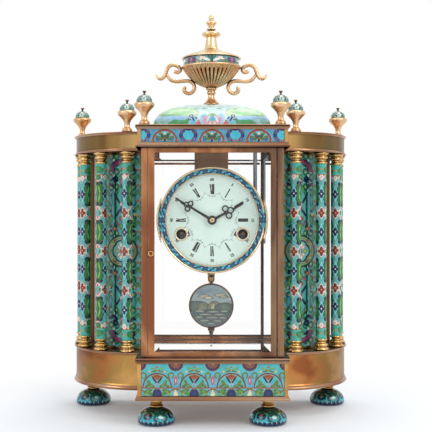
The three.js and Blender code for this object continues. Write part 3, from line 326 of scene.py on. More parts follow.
def folded(tree, point, axes=(1, 0)):
    """Mirror a point into the positive side: the larger of x and -x, along the axes marked 1."""
    signs = (1 - 2 * axes[0], 1 - 2 * axes[1], 1)
    other = add_node(tree, "ShaderNodeVectorMath", {0: point, 1: signs}, operation="MULTIPLY")
    return add_node(tree, "ShaderNodeVectorMath", {0: point, 1: other}, operation="MAXIMUM")


def cell(tree, paint, point, centre, size, tones, turn=0, hollow=0.0, kind="oval", above=None, wire=0.3,
         line=WIRE):
    """Lay one cell over paint, a pair of colour and wires, and return the new pair.

    The point is moved, turned and divided by twice the half sizes, so its length, or the sum of its parts
    in a diamond, is 0.5 on the cell's edge. A ramp of that length holds the colours, then the wire, then
    nothing. hollow is the share of the radius left open, for rings. above = (x, y, limit) keeps only what
    lies beyond a line. line is the colour of the wire: dark where it is a line of enamel, without metal.
    """
    colour, wires = paint
    local = add_node(tree, "ShaderNodeMapping", {0: point, 1: (*centre, 0), 2: (0, 0, math.radians(turn)),
                                                 3: (2 * size[0], 2 * size[1], 1)}, vector_type="TEXTURE")
    if kind == "oval":
        reach = add_node(tree, "ShaderNodeVectorMath", {0: local}, out=1, operation="LENGTH")
    else:
        flat = add_node(tree, "ShaderNodeVectorMath", {0: local}, operation="ABSOLUTE")
        reach = add_node(tree, "ShaderNodeVectorMath", {0: flat, 1: (1, 1, 0)}, out=1,
                         operation="DOT_PRODUCT")
    rim = 0.5 * wire / min(size)
    inner, edge = 0.5 * hollow, 0.003
    stops = [(0.5 - edge, tones[-1], 1), (0.5, line, 1), (0.5 + rim, line, 1), (0.5 + rim + edge, line, 0)]
    stops.insert(0, (inner, tones[0], 1))
    if hollow:
        stops = [(inner - rim - edge, line, 0), (inner - rim, line, 1), (inner - edge, line, 1)] + stops
    ramp = tree.nodes.new("ShaderNodeValToRGB")
    tree.links.new(reach, ramp.inputs[0])
    for i, (at, tone, alpha) in enumerate(stops):
        stop = ramp.color_ramp.elements[i] if i < 2 else ramp.color_ramp.elements.new(min(max(at, 0), 1))
        stop.position, stop.color = min(max(at, 0), 1), (*linear(tone)[:3], alpha)
    cover = ramp.outputs[1]
    if above:
        side = add_node(tree, "ShaderNodeVectorMath", {0: point, 1: (above[0], above[1], 0)}, out=1,
                        operation="DOT_PRODUCT")
        kept = add_node(tree, "ShaderNodeMath", {0: side, 1: above[2]}, operation="GREATER_THAN")
        cover = add_node(tree, "ShaderNodeMath", {0: cover, 1: kept}, operation="MULTIPLY")
    colour = add_node(tree, "ShaderNodeMix", {0: cover, 6: colour, 7: ramp.outputs[0]}, out=2,
                      data_type="RGBA")
    ring = add_node(tree, "ShaderNodeMath", {0: reach, 1: 0.5 + rim / 2, 2: rim / 2}, operation="COMPARE")
    wires = add_node(tree, "ShaderNodeMix", {0: cover, 2: wires, 3: ring if line == WIRE else 0.0},
                     data_type="FLOAT")
    return colour, wires


def cells(tree, paint, point, table, **usual):
    """Lay a table of cells: place x and y, half sizes, tones, and a dict of what differs from the usual."""
    for x, y, across, up, tones, *more in table:
        paint = cell(tree, paint, point, (x, y), (across, up), tones, **{**usual, **dict(*more)})
    return paint


def enamel(name, ground_tone, draw, rough=0.2, coat=0.3, shine=0.35):
    """Vitreous enamel: ground colour, a pattern from draw(tree, paint, point), wires of brass.

    Glass fired in a small kiln varies a little in tone over a centimetre, and its polished face is not
    quite flat, which breaks up the reflections. shine is the strength of its own reflection.
    """
    material, tree, shader = new_material(name, Roughness=rough, IOR=1.52, Specular_IOR_Level=shine,
                                          Coat_Weight=coat, Coat_Roughness=0.08)
    point = surface_mm(tree)
    place = add_node(tree, "ShaderNodeTexCoord", out=3)
    cloud = add_node(tree, "ShaderNodeTexNoise", {"Vector": place, "Scale": 160, "Detail": 3})
    tone = add_node(tree, "ShaderNodeMapRange",
                    {"Value": cloud, "From Min": 0.3, "From Max": 0.7, "To Min": 0.84, "To Max": 1.12})
    colour, wires = draw(tree, (linear(ground_tone), 0.0), point)
    fired = add_node(tree, "ShaderNodeVectorMath", {0: colour, "Scale": tone}, operation="SCALE")
    tree.links.new(fired, shader.inputs["Base Color"])
    if isinstance(wires, bpy.types.NodeSocket):
        tree.links.new(wires, shader.inputs["Metallic"])
    uneven = add_node(tree, "ShaderNodeTexNoise", {"Vector": place, "Scale": 420, "Detail": 2})
    bump = add_node(tree, "ShaderNodeBump", {"Strength": 0.12, "Distance": 0.0003, "Height": uneven})
    tree.links.new(bump, shader.inputs["Normal"])
    return material


print("cells ready")

# %% [markdown]
# ## Patterns
# Each pattern is a table in millimetres. The front panel of the base is an arcade: four arches with a red
# flower over a dark vase under each, leaf sprays at their feet, buds between them, and half roundels that
# hang from the top edge.

# %% Arcade on the base
ARCH = 42.0  # from one arch to the next


def draw_arcade(tree, paint, point):
    tile = folded(tree, wrapped(tree, point, (ARCH, 1000), (ARCH / 2, 0)))
    return cells(tree, paint, tile, [
        (ARCH / 2, -2, 7, 16, ["5FA9C9", "4FB0C4"], dict(wire=0.01)),
        (ARCH / 2, -20, 9, 10, [UMBER, "6A3A2A"], dict(hollow=0.9, above=(0, 1, -19))),
        (ARCH / 2, -16.4, 2.9, 6, [CREAM, "E0D2A0"], dict(kind="diamond")),
        (ARCH / 2, 17.6, 8.2, 7.2, [UMBER, NAVY], dict(wire=0.5)),
        (ARCH / 2, 18.6, 5.2, 4.6, ["9A5B3A", "7C4030"]),
        (ARCH / 2, 18.6, 2, 1.8, ["C9BDB4", "8A6A8A"]),
        (ARCH / 2, -0.6, 1.7, 4.6, ["E0708C", "B9506E"]),
        (ARCH / 2, -0.6, 0.6, 2.4, [CREAM, ROSE], dict(wire=0.1)),
        (15.6, 5, 3.4, 3.6, [GREEN, DARK_GREEN], dict(hollow=0.62, above=(0.6, 1, 12))),
        (13.6, 1.6, 0.9, 4.6, [GREEN, DARK_GREEN], dict(turn=16, wire=0.2)),
        (0, -8.8, 16.6, 16.8, [PURPLE, "4A2A48"], dict(hollow=0.93, above=(0, 1, -9))),
        (10.6, -9, 11, 0.55, ["7A3B3A", UMBER], dict(wire=0.2)),
        (9, -3.6, 3.6, 1.7, [GREEN, "2E7A44"], dict(turn=62)),
        (6.6, -6.4, 4, 1.6, ["6BAF4C", DARK_GREEN], dict(turn=28)),
        (11.2, -6.6, 2.6, 1.2, [GREEN, DARK_GREEN], dict(turn=-24)),
        (10.4, -12.6, 4.6, 1.9, ["6BAF4C", DARK_GREEN], dict(turn=-16)),
        (7.4, -15.6, 3.6, 1.7, [GREEN, "2E7A44"], dict(turn=18)),
        (13, -16, 2.4, 1.2, ["7FBA55", GREEN], dict(turn=-40)),
        (3.2, 0.2, 4.6, 1, [NAVY, "101A3A"], dict(turn=56, wire=0.25)),
        (1.6, -5, 2.2, 0.8, ["AFC9E0", "6F8FC0"], dict(turn=-50, wire=0.2)),
        (0, 3.4, 4.2, 3.4, ["B5513F", UMBER], dict(kind="diamond")),
        (0, 4.4, 4.6, 1.2, ["8A3430", UMBER], dict(wire=0.2)),
        (0, -16.6, 5.4, 6.6, ["24406A", NAVY]),
        (0, -9.6, 2.6, 1.1, ["C07A8A", PURPLE], dict(wire=0.2)),
        (4.2, 12.6, 3.2, 0.9, ["7FBA55", GREEN], dict(turn=16, wire=0.2)),
        (3.4, 9.8, 2.8, 0.8, [GREEN, DARK_GREEN], dict(turn=-12, wire=0.2)),
        (8.8, 9.4, 1.1, 1.1, ["F0DC9A", "E3A35C"], dict(wire=0.2)),
        (0, 14.6, 1.5, 0.7, ["C98A5A", UMBER], dict(wire=0.2)),
    ])


base_enamel = enamel("cloisonne_arcade", TURQUOISE, draw_arcade)

# %% Arches and scrolls on the top panel
BOW = 53.3


def draw_bows(tree, paint, point):
    tile = folded(tree, wrapped(tree, point, (BOW, 1000), (-1, 0)))
    return cells(tree, paint, tile, [
        (BOW / 2, 0.6, 8, 6, ["3DAFC6", "48B4C2"], dict(wire=0.01)),
        (15.4, 5.6, 4, 1.4, ["5F9CC0", "4A86B4"], dict(turn=-14, wire=0.2)),
        (0, -8, 14.6, 14.6, ["96504C", "6E3434"], dict(hollow=0.82)),
        (0, -7, 12, 11, ["4FA5B8", "57AFC0"], dict(wire=0.01, above=(0, 1, -6))),
        (0, -4.4, 1.3, 4, [NAVY, "101A3A"], dict(wire=0.2)),
        (0, 1.6, 1.2, 1, [CREAM, "B9D9A8"], dict(wire=0.2)),
        (3.2, -1.2, 1.7, 3.9, [DARK_GREEN, "0F4A3A"], dict(turn=-30)),
        (6.4, -3.8, 1.6, 4, ["2F8A5A", DARK_GREEN], dict(turn=-58)),
        (8.6, -5, 1.5, 2.2, [BLUE, NAVY], dict(turn=-40, wire=0.2)),
        (5.6, 0.8, 1.1, 1.6, ["3F9A5C", DARK_GREEN], dict(turn=-10, wire=0.2)),
        (BOW / 2, -0.4, 10, 7.6, ["22307A", NAVY], dict(hollow=0.66, above=(-1, 0, -23), line=NAVY)),
        (BOW / 2 - 2.6, 6.2, 3.4, 1.3, ["2A3C8A", NAVY], dict(turn=-18, wire=0.2)),
        (BOW / 2 - 6.6, -5, 2.4, 2, ["6A86D0", NAVY]),
        (BOW / 2 - 7.6, 3.4, 1.7, 1.9, ["4A5FB0", NAVY]),
        (BOW / 2 - 2.2, -6.6, 1.5, 1.1, ["C98AA8", PURPLE], dict(wire=0.2)),
        (14.4, -6.8, 1.1, 0.9, [ROSE, RED], dict(wire=0.2)),
    ])


top_enamel = enamel("cloisonne_bows", "4299B4", draw_bows)

# %% [markdown]
# The columns carry lozenges of turquoise with a navy flower, with green leaves either side, and between
# two lozenges a red flower edged in white. The pattern goes round the shaft twice. A plain band with a
# leaf closes each end behind a thin coppery ring.

# %% Lattice on the columns
SHAFT_R = 6.6
REPEAT = (math.pi * SHAFT_R, 47.0)
SIDE, MEET = REPEAT[0] / 2, REPEAT[1] / 2


def draw_lattice(tree, paint, point):
    tile = folded(tree, wrapped(tree, point, REPEAT), (1, 1))
    paint = cells(tree, paint, tile, [
        (SIDE, MEET, 8.8, 15.4, ["348A48", "1E5F34"], dict(line="17452F")),
        (SIDE, MEET, 2.4, 9, ["2C7F48", "1A5A32"], dict(line="17452F", wire=0.2)),
        (8, MEET - 5, 0.9, 5, ["86C46A", "5FAF5C"], dict(turn=14, wire=0.1)),
        (0, MEET, 4.1, 12, ["62B8D2", "84CEDA"], dict(kind="diamond", line="1F5F50")),
        (SIDE, 6.6, 2.2, 2.7, [WHITE, "E3A0AE"], dict(wire=0.2)),
        (SIDE - 2.6, 5.6, 1.4, 1.8, [WHITE, "D98A9C"], dict(wire=0.2)),
        (SIDE, 5.6, 0.8, 1.2, ["B03A4A", RED], dict(wire=0.1)),
        (SIDE, 11, 1.5, 2.1, [DARK, DARK], dict(line=DARK)),
        (5, 10.4, 1.2, 2, [DARK, DARK], dict(turn=30, line=DARK)),
        (5.6, 3.2, 1, 1.6, ["A8DCCB", "CFEDE2"], dict(turn=40, wire=0.15)),
        (SIDE - 3.4, 1, 1.2, 1.2, ["3E9450", "1E5F34"], dict(wire=0.15)),
        (0, 0, 6.2, 8, [WHITE, "EFD4CE"], dict(kind="diamond", wire=0.2)),
        (0, 4, 2.4, 3.1, [WHITE, "EFD4CE"], dict(wire=0.2)),
        (3.4, 0, 2.4, 2.5, [WHITE, "EFD4CE"], dict(wire=0.2)),
        (0, 3.2, 1.6, 2.4, ["9A2A26", "5E1518"], dict(line="5E1518")),
        (2.6, 0, 1.8, 1.6, ["9A2A26", "6E1A1C"], dict(line="5E1518")),
        (0, 0, 1.2, 1.2, ["F0906A", "C9503C"], dict(wire=0.2)),
        (0, MEET - 2.8, 1.6, 2.2, [NAVY, "131B48"], dict(line="131B48")),
        (2.3, MEET, 1.7, 1.6, [NAVY, "131B48"], dict(line="131B48")),
        (0, MEET, 0.9, 1, [WHITE, "C9C2D8"], dict(wire=0.1)),
    ])
    ends = folded(tree, wrapped(tree, point, (REPEAT[0], 1000)), (1, 1))
    return cells(tree, paint, ends, [
        (0, 91, 2.7, 3, [ROSE, WHITE], dict(wire=0.2)),
        (SIDE, 90.6, 4.4, 3.4, ["3E9450", "1E5F34"], dict(wire=0.2)),
        (0, 101, 400, 6.6, ["4FB0A4", "48A898"], dict(wire=0.8)),
        (SIDE, 100.6, 7, 4, ["3F9450", "2A7F4A"], dict(turn=12, line="1E5F34")),
        (0, 100.6, 3.4, 0.8, ["C9B060", WIRE], dict(turn=-14, wire=0.1)),
    ])


column_enamel = enamel("cloisonne_lattice", "62B0AE", draw_lattice)

# %% [markdown]
# The bowed shells behind the columns have a medallion halfway up, with a navy quatrefoil on an olive
# ground, and tall frames above and below it, on a ground of small scrolls. Folding the point left to
# right and top to bottom draws all four quarters at once.

# %% Medallion on the wing shells
def draw_medallion(tree, paint, point):
    middle = add_node(tree, "ShaderNodeVectorMath", {0: point, 1: (30, 121, 0)}, operation="SUBTRACT")
    small = folded(tree, wrapped(tree, middle, (22, 19)), (1, 0))
    edge, teal = "12302C", "1B4C48"
    paint = cells(tree, paint, small, [
        (7, 3, 4.8, 4.4, ["2A7A58", "1F5F44"], dict(hollow=0.6, line=edge)),
        (2.6, -4.6, 1.6, 5, ["4FA05C", "1F6A44"], dict(turn=34, line=edge)),
        (8.6, -6, 1.4, 3.8, [NAVY, DARK], dict(turn=-50, line=DARK)),
        (0, 5, 1.5, 1.7, ["B5603C", RED], dict(wire=0.2)),
        (7, 3, 1.3, 1.3, ["D8D060", "8FB04C"], dict(wire=0.15)),
        (11, 7.6, 1.6, 1.5, ["D98AA0", PURPLE], dict(wire=0.2)),
        (4.2, 8.4, 2.8, 0.9, ["7CC9C0", "5FB4B0"], dict(turn=20, wire=0.15)),
        (10.4, -1.6, 0.9, 2.4, [WHITE, "A8DCCB"], dict(turn=16, wire=0.15)),
    ])
    p = folded(tree, middle, (1, 1))
    return cells(tree, paint, p, [
        (0, 50, 7.4, 30, ["57AAA4", "4C9E98"], dict(wire=0.05)),
        (12, 50, 1.9, 30, ["7CC4BC", "62B0AC"], dict(line=teal)),
        (8.4, 50, 1, 30, ["12403A", "1B4C48"], dict(line=edge)),
        (0, 70, 9, 10, ["12403A", "1B4C48"], dict(hollow=0.86, line=edge, above=(0, 1, 74))),
        (0, 101, 17, 12, ["8A4A70", PURPLE], dict(hollow=0.6, line=DARK, wire=0.8, above=(0, 1, 98))),
        (8, 89, 3.6, 4, [NAVY, DARK], dict(hollow=0.5, line=DARK)),
        (15, 82, 4.4, 1.5, [NAVY, DARK], dict(turn=34, line=DARK)),
        (0, 85, 1.8, 4, ["D98AA0", PURPLE], dict(line=DARK)),
        (3.4, 76, 1.4, 5, ["57A85C", "1F6A44"], dict(turn=26, line=edge)),
        (3.6, 62, 1.2, 5, [NAVY, DARK], dict(turn=-34, line=DARK)),
        (3.8, 48, 1.2, 5.4, [NAVY, DARK], dict(turn=36, line=DARK)),
        (0, 52, 1.1, 4, [NAVY, DARK], dict(line=DARK)),
        (0, 58, 1.7, 2.2, [WHITE, "D9A0A8"], dict(wire=0.2)),
        (0, 40, 3.2, 2.8, ["B5603C", "7C3A34"], dict(line=edge)),
        (4.4, 34, 1.5, 3, ["C05A7A", "8A3A5A"], dict(turn=-30, line=edge)),
        (0, 31, 2.2, 4, ["6BAF4C", "2A7F4A"], dict(line=edge)),
        (16, 62, 2.8, 6.4, ["5FB4B8", "2F8A8A"], dict(turn=-8, line=teal)),
        (15.4, 39, 2.2, 5.4, ["6BAF4C", "2A7F4A"], dict(turn=20, line=edge)),
        (17.4, 45, 1.3, 1.6, ["E5D86C", "B5B04C"], dict(wire=0.2)),
        (9.6, 27.6, 3, 2.8, ["C9744C", "8A4434"], dict(line=edge)),
        (9.6, 27.6, 1.1, 1.1, ["E5C8A0", "C9905C"], dict(wire=0.1)),
        (15.6, 25, 1.6, 2.2, [NAVY, DARK], dict(turn=30, line=DARK)),
        (0, 0, 21.6, 19.6, ["1B4C40", "12403A"], dict(hollow=0.9, line=edge)),
        (0, 0, 19.4, 17.6, ["6F9C80", "8CA07C"], dict(wire=0.2)),
        (0, 0, 17.2, 15.6, ["94A87C", "86A07A"], dict(line=teal, wire=0.4)),
        (0, 6.8, 8.6, 6.8, [NAVY, NAVY], dict(line=DARK)),
        (6.6, 0, 6.6, 8, [NAVY, NAVY], dict(line=DARK)),
        (0, 6.6, 7, 5.4, ["55B0B0", "74BDB4"], dict(wire=0.01)),
        (6.4, 0, 5.2, 6.4, ["55B0B0", "74BDB4"], dict(wire=0.01)),
        (0, 0, 7.4, 7.4, ["55B0B0", "74BDB4"], dict(wire=0.01)),
        (0, 7.6, 2.4, 2.4, [WHITE, CREAM], dict(wire=0.2)),
        (6, 0, 2, 2, ["E5D86C", "8FB04C"], dict(line=edge)),
        (3.4, 4.4, 1.5, 2.6, [WHITE, "D98AA0"], dict(turn=-40, wire=0.2)),
        (0, 0, 2.2, 2.2, ["C95A5A", RED], dict(wire=0.2)),
        (13.6, 8.6, 1.4, 1.4, ["E5D86C", "B5B04C"], dict(wire=0.2)),
        (8.6, 13, 1.5, 1.4, ["C9744C", "7C3A34"], dict(wire=0.2)),
        (16.4, 0, 1.3, 2, ["4FA05C", "2A7F4A"], dict(wire=0.2)),
    ])


shell_enamel = enamel("cloisonne_medallion", "52A8A4", draw_medallion)

# %% [markdown]
# The feet are nearly black round the rim, with a row of navy drops above it and dark scrolls over the top.

# %% Scrolls on the feet
def draw_foot(tree, paint, point):
    tile = folded(tree, wrapped(tree, point, (33, 1000), (6, 0)))
    dark = "12302C"
    paint = cells(tree, paint, tile, [
        (0, 44, 60, 8, ["1B3A36", "1F4440"], dict(wire=0.2)),
        (0, 37, 9, 5, ["1F5F50", "17403A"], dict(line=dark)),
        (16.5, 38, 7, 6, ["23504A", "173834"], dict(line=dark)),
        (0, 31, 8.4, 6.4, ["1F5F50", "174A44"], dict(hollow=0.76, line=dark)),
        (0, 31.4, 3.2, 2.4, ["BFE6D8", "7CC9C0"], dict(line=dark)),
        (3.8, 30, 1.2, 1, ["9A7AC0", PURPLE], dict(wire=0.15)),
        (12, 32, 1.3, 3, [NAVY, DARK], dict(turn=16, line=DARK)),
        (14.4, 29.6, 2, 1.1, [NAVY, DARK], dict(turn=-24, line=DARK)),
        (16.5, 33.6, 1.6, 1.8, ["A0625A", UMBER], dict(wire=0.2)),
        (10.4, 36, 3.6, 0.9, ["57A85C", "2A7F4A"], dict(turn=24, wire=0.15)),
        (5, 39.4, 4, 0.8, ["4A8A6A", "2A6F5A"], dict(turn=-18, wire=0.15)),
    ])
    small = wrapped(tree, point, (5.5, 1000))
    return cells(tree, paint, small, [
        (0, 19, 9, 3.6, [NAVY, "10193C"], dict(line="10193C")),
        (0, 22.6, 2.3, 2.6, [NAVY, "10193C"], dict(line="10193C")),
        (2.75, 25.6, 0.7, 0.8, ["9FD8E0", WHITE], dict(wire=0.1)),
    ])


foot_enamel = enamel("cloisonne_scrolls_dark", "35A6B8", draw_foot)

# %% [markdown]
# The dome is the palest piece: green clouds in the corners and a pink palmette in the middle of each side.
# Its UV runs once round the foot, so the tile is a quarter of that and turns with the corners.

# %% Fans on the dome
DOME_ROUND = 480.0  # once round the foot of the dome


def draw_fans(tree, paint, point):
    p = folded(tree, wrapped(tree, point, (DOME_ROUND / 4, 1000)))
    soft = "5FAF8C"
    return cells(tree, paint, p, [
        (56, 17, 38, 13, ["B0DEB0", "C9EBC6"]),
        (40, 18, 13, 3.6, ["8CCB94", "A8D8A4"], dict(turn=-8)),
        (52, 13.4, 14, 1.6, ["7CBF88", "9AD09A"], dict(turn=6)),
        (46, 8.4, 24, 5, ["93C4F0", "B4DCF6"]),
        (57, 4, 9, 5, ["8CC8CC", "A8DCD8"]),
        (39, 3, 13.4, 4.6, ["429A66", "57AC78"], dict(line=soft, wire=0.3)),
        (45, 5, 5, 3.4, ["429A66", "57AC78"], dict(wire=0.01)),
        (30.5, 5, 3.4, 4, ["429A66", "57AC78"], dict(wire=0.01)),
        (29, 8.4, 1, 2.4, ["3A8A5C", "429A66"], dict(turn=-16)),
        (23, 3.6, 5.6, 8.4, ["62C0DC", "8AD4E8"], dict(wire=0.15)),
        (26.6, 13, 2.6, 2.3, ["5A62B4", "7A72B8"], dict(hollow=0.5)),
        (23.4, 9, 1, 3.4, [NAVY, "4A52A8"], dict(turn=-34)),
        (20, 10.4, 2.2, 0.9, ["4A52A8", "6A6AB4"], dict(turn=30)),
        (27, 8.2, 1.4, 1, ["6A4A8A", "8A6AA8"]),
        (16.6, 2.4, 3.1, 3.4, ["CC506C", "DE7C94"], dict(wire=0.15)),
        (16.6, 6.4, 1.2, 1.8, ["CC506C", "DE7C94"]),
        (11, 10, 4.4, 8, ["8CCBEA", "B4DFF0"]),
        (9.4, 7.4, 1.5, 5.4, ["E48CBC", "EFB0D0"], dict(turn=-20)),
        (6.2, 12, 1.2, 4.2, ["E9A0C8", "F2C0DC"], dict(turn=30)),
        (4.6, 5, 1.1, 3, ["E48CBC", "EFB0D0"], dict(turn=34)),
        (0, 9, 3.8, 3.2, ["55B6D8", "7CCAE2"], dict(wire=0.15)),
        (0, 15, 5.4, 2.8, ["7CBF9C", "A0D4B4"], dict(wire=0.15)),
        (0, 15, 2, 1.4, ["5A9F8C", "7CBF9C"]),
        (0, 4.6, 1.8, 1.6, ["D0708C", "F0D0B0"]),
        (4, 1.2, 2, 1, ["55A6C8", "3F8FA8"]),
        (11.4, 27.4, 4, 0.5, ["46544F", "5A6A64"], dict(wire=0.05)),
        (26, 27.4, 3.4, 0.5, ["6F7F78", "8A9A90"], dict(wire=0.05)),
    ], wire=0.1)


dome_enamel = enamel("cloisonne_fans_pale", "D4F2F0", draw_fans)

# %% [markdown]
# Three narrow rounds: white wings on the urn's band, S-scrolls on the bezel, leaves on the finials' caps.

# %% Urn band, bezel and finial caps
BAND_FOOT = 34.3  # length of the urn band's profile before its upright face
BEZEL_ROUND = 361.3  # once round the middle of the bezel's face


def draw_band(tree, paint, point):
    tile = folded(tree, wrapped(tree, point, (53.8, 1000), (0, BAND_FOOT)))
    return cells(tree, paint, tile, [
        (0, 8.6, 54, 1.4, ["3F8088", "34707A"]),
        (7.4, 3.8, 6.4, 1.7, [WHITE, "DCE6E4"], dict(turn=22)),
        (12.4, 4.4, 5, 1.1, [CREAM, WHITE], dict(turn=-22)),
        (0, 4.4, 1.1, 3.8, ["2E6F6A", DARK_GREEN], dict(line="12302C", wire=0.3)),
        (3.2, 6.4, 1.1, 2, ["2E6F6A", DARK_GREEN], dict(turn=-40)),
        (18.4, 5.2, 3.4, 2.6, ["8AC0D0", "4E7F9E"], dict(turn=-30)),
        (22.6, 3.6, 2.8, 2.6, ["8A4A86", PURPLE], dict(line="3A1F44", wire=0.3)),
        (26.9, 4.4, 2.2, 3.6, [ROSE, PURPLE], dict(wire=0.2)),
        (16, 2, 3.4, 1.2, ["57A85C", DARK_GREEN]),
    ], wire=0.15)


def draw_scrolls(tree, paint, point):
    """22 tiles, each with one S: the same cells to the left and, turned half round, to the right."""
    navy, dark, turn_round = "22427E", "10265A", (1, -1)
    tile = wrapped(tree, point, (BEZEL_ROUND / 22, 1000))
    arcs = [(-4 * s, 0.3 * s, 3.4, 2.2, [navy, dark], dict(hollow=0.6, above=(0, s, -0.3)))
            for s in turn_round]
    tips = [(-6 * s, -1.5 * s, 1.3, 0.7, [navy, dark], dict(turn=24)) for s in turn_round]
    eyes = [(-4 * s, 0.4 * s, 1, 0.8, ["90D0DC", "58B4C6"], dict(wire=0.05, line=WIRE)) for s in turn_round]
    buds = [(s * BEZEL_ROUND / 44, 0, 0.9, 1.6, ["1F6A74", "1C4A6E"], dict(line="12403A"))
            for s in turn_round]
    waist = (0, 0, 2.2, 0.5, [navy, dark], dict(turn=-40))
    return cells(tree, paint, tile, [*arcs, waist, *tips, *eyes, *buds], line=dark)


def draw_cap(tree, paint, point):
    tile = folded(tree, wrapped(tree, point, (14.5, 1000)))
    return cells(tree, paint, tile, [
        (0, 13.4, 2, 3.6, ["E8F2E6", "BFE0D4"]),
        (0, 13, 0.7, 1.8, ["5F8F9A", "3F7F8A"], dict(wire=0.1)),
        (7.2, 13, 2.4, 3.4, ["7CB09A", "4F8A78"]),
        (3.8, 16, 1.4, 2, ["A8708C", "7B4A66"], dict(turn=20)),
        (4, 11.4, 1.3, 1.5, ["4A6FA0", NAVY]),
        (0, 19, 3, 1.4, ["4F8A6A", "2F6F5C"]),
        (7.2, 18.4, 1.6, 1.4, ["8AA89A", "6A8A7C"], dict(wire=0.1)),
    ], wire=0.15)


band_enamel = enamel("cloisonne_wings_band", "5A9CA2", draw_band)
ring_enamel = enamel("cloisonne_s_scrolls", "3CA2B0", draw_scrolls, rough=0.3, coat=0.05, shine=0.2)
cap_enamel = enamel("cloisonne_leaves_pale", "9ED0C8", draw_cap)
print("enamels", [m.name for m in bpy.data.materials if m.name.startswith("cloisonne")])

# %% [markdown]
# ## Surfaces
# A piece is a grid of points: rows along its profile, columns round it. Neighbouring points make quads,
# and each quad's corners carry their distance along the surface as UV, so a pattern follows the shape.

# %% Grid, object and profile helpers
def read(data, key, width):
    """A property of every point, face or corner as one array, width numbers a row."""
    flat = np.empty(len(data) * width)
    data.foreach_get(key, flat)
    return flat.reshape(-1, width)


def middles_of(mesh, origin=(0, 0, 0)):
    """The middle of every face, in mm from an origin."""
    return read(mesh.polygons, "center", 3) / MM - origin


def number_faces(mesh, numbers):
    """Give each face its material's number; a single number goes to all of them."""
    numbers = np.broadcast_to(numbers, len(mesh.polygons)).astype(np.int32)
    mesh.polygons.foreach_set("material_index", numbers)
    return mesh


def shift_uv(mesh, by, scale=(1, 1)):
    """Scale the UV map, then move it by a distance in mm."""
    uv = mesh.uv_layers["UVMap"].data
    uv.foreach_set("uv", (read(uv, "uv", 2) * scale + np.array(by) * MM).ravel())


def grid_mesh(name, points, u=None, v=None, wrap=False, caps=False):
    """Quads over an array of points (rows, columns, xyz) in mm; wrap joins the last column to the first.

    Quad (i, j) joins point (i, j) to its right, upper right and upper neighbours. u has one value for each
    column and one more where the grid wraps, v one for each row. caps closes the first and last row.
    """
    rows, columns = points.shape[:2]
    spans = columns if wrap else columns - 1
    i, j = (axis.ravel() for axis in np.indices((rows - 1, spans)))
    right = (j + 1) % columns
    low, high = i * columns, (i + 1) * columns
    quads = np.stack([low + j, low + right, high + right, high + j], 1)
    faces = quads.tolist()
    if caps:
        faces += [list(range(columns))[::-1], list(range((rows - 1) * columns, rows * columns))]
    mesh = bpy.data.meshes.new(name)
    mesh.from_pydata((points.reshape(-1, 3) * MM).tolist(), [], faces)
    layer = mesh.uv_layers.new(name="UVMap")
    if u is not None:
        corners = np.stack([u[j], v[i], u[j + 1], v[i], u[j + 1], v[i + 1], u[j], v[i + 1]], 1).reshape(-1)
        filled = np.zeros(len(mesh.loops) * 2)
        filled[:corners.size] = corners * MM
        layer.data.foreach_set("uv", filled)
    return mesh


def tidy_mesh(mesh, sharp=35):
    """Merge doubles, so seams and poles close, turn the faces outwards and mark edges over sharp degrees."""
    work = bmesh.new()
    work.from_mesh(mesh)
    bmesh.ops.remove_doubles(work, verts=work.verts, dist=2e-6)
    bmesh.ops.dissolve_degenerate(work, edges=work.edges, dist=1e-7)
    bmesh.ops.recalc_face_normals(work, faces=work.faces)
    work.to_mesh(mesh)
    work.free()
    mesh.shade_smooth()
    mesh.set_sharp_from_angle(angle=math.radians(sharp))
    return mesh


def merged(name, meshes):
    """One mesh from several, each keeping its UV and its material numbers."""
    work = bmesh.new()
    for mesh in meshes:
        work.from_mesh(mesh)
    whole = bpy.data.meshes.new(name)
    work.to_mesh(whole)
    work.free()
    return whole


def add_piece(name, mesh, materials, nodes=(), body="case", sharp=35):
    """Put a mesh in the scene as a piece that rides on a body and stands for its CAD nodes."""
    tidy_mesh(mesh, sharp)
    piece = bpy.data.objects.new(name, mesh)
    scene.collection.objects.link(piece)
    for material in materials:
        mesh.materials.append(material)
    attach(piece, body)
    if nodes:
        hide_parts(*nodes)
    return piece


def rounded(profile, radius=0.5, steps=4):
    """Round a profile's corners: from a, a radius before each, to b, a radius after it, runs the curve
    (1 - t)^2 a + 2 t (1 - t) corner + t^2 b. A large radius makes the whole profile one soft line."""
    p = np.array(profile, float)
    before, after = p[:-2] - p[1:-1], p[2:] - p[1:-1]
    reach = [np.minimum(radius, np.hypot(*d.T) / 2)[:, None] for d in (before, after)]
    a = p[1:-1] + before / np.maximum(np.hypot(*before.T), 1e-9)[:, None] * reach[0]
    b = p[1:-1] + after / np.maximum(np.hypot(*after.T), 1e-9)[:, None] * reach[1]
    t = np.linspace(0, 1, steps + 1)[None, :, None]
    curve = (1 - t) ** 2 * a[:, None] + 2 * t * (1 - t) * p[1:-1][:, None] + t ** 2 * b[:, None]
    return np.concatenate([p[:1], curve.reshape(-1, 2), p[-1:]])


def lathe(name, profile, segments=48, centre=(0, 0, 0), width=None):
    """Turn (radius, height) pairs round Z: (r cos a, r sin a, z). u is the arc at the width radius, v the
    length along the profile."""
    p = np.array(profile, float)
    angle = np.arange(segments) / segments * 2 * np.pi - np.pi / 2
    points = np.empty((len(p), segments, 3))
    points[..., 0] = centre[0] + p[:, :1] * np.cos(angle)
    points[..., 1] = centre[1] + p[:, :1] * np.sin(angle)
    points[..., 2] = centre[2] + p[:, 1:]
    u = np.linspace(0, 2 * np.pi, segments + 1) * (width or p[:, 0].max())
    v = np.concatenate([[0], np.cumsum(np.hypot(*np.diff(p, axis=0).T))])
    return grid_mesh(name, points, u, v, wrap=True)


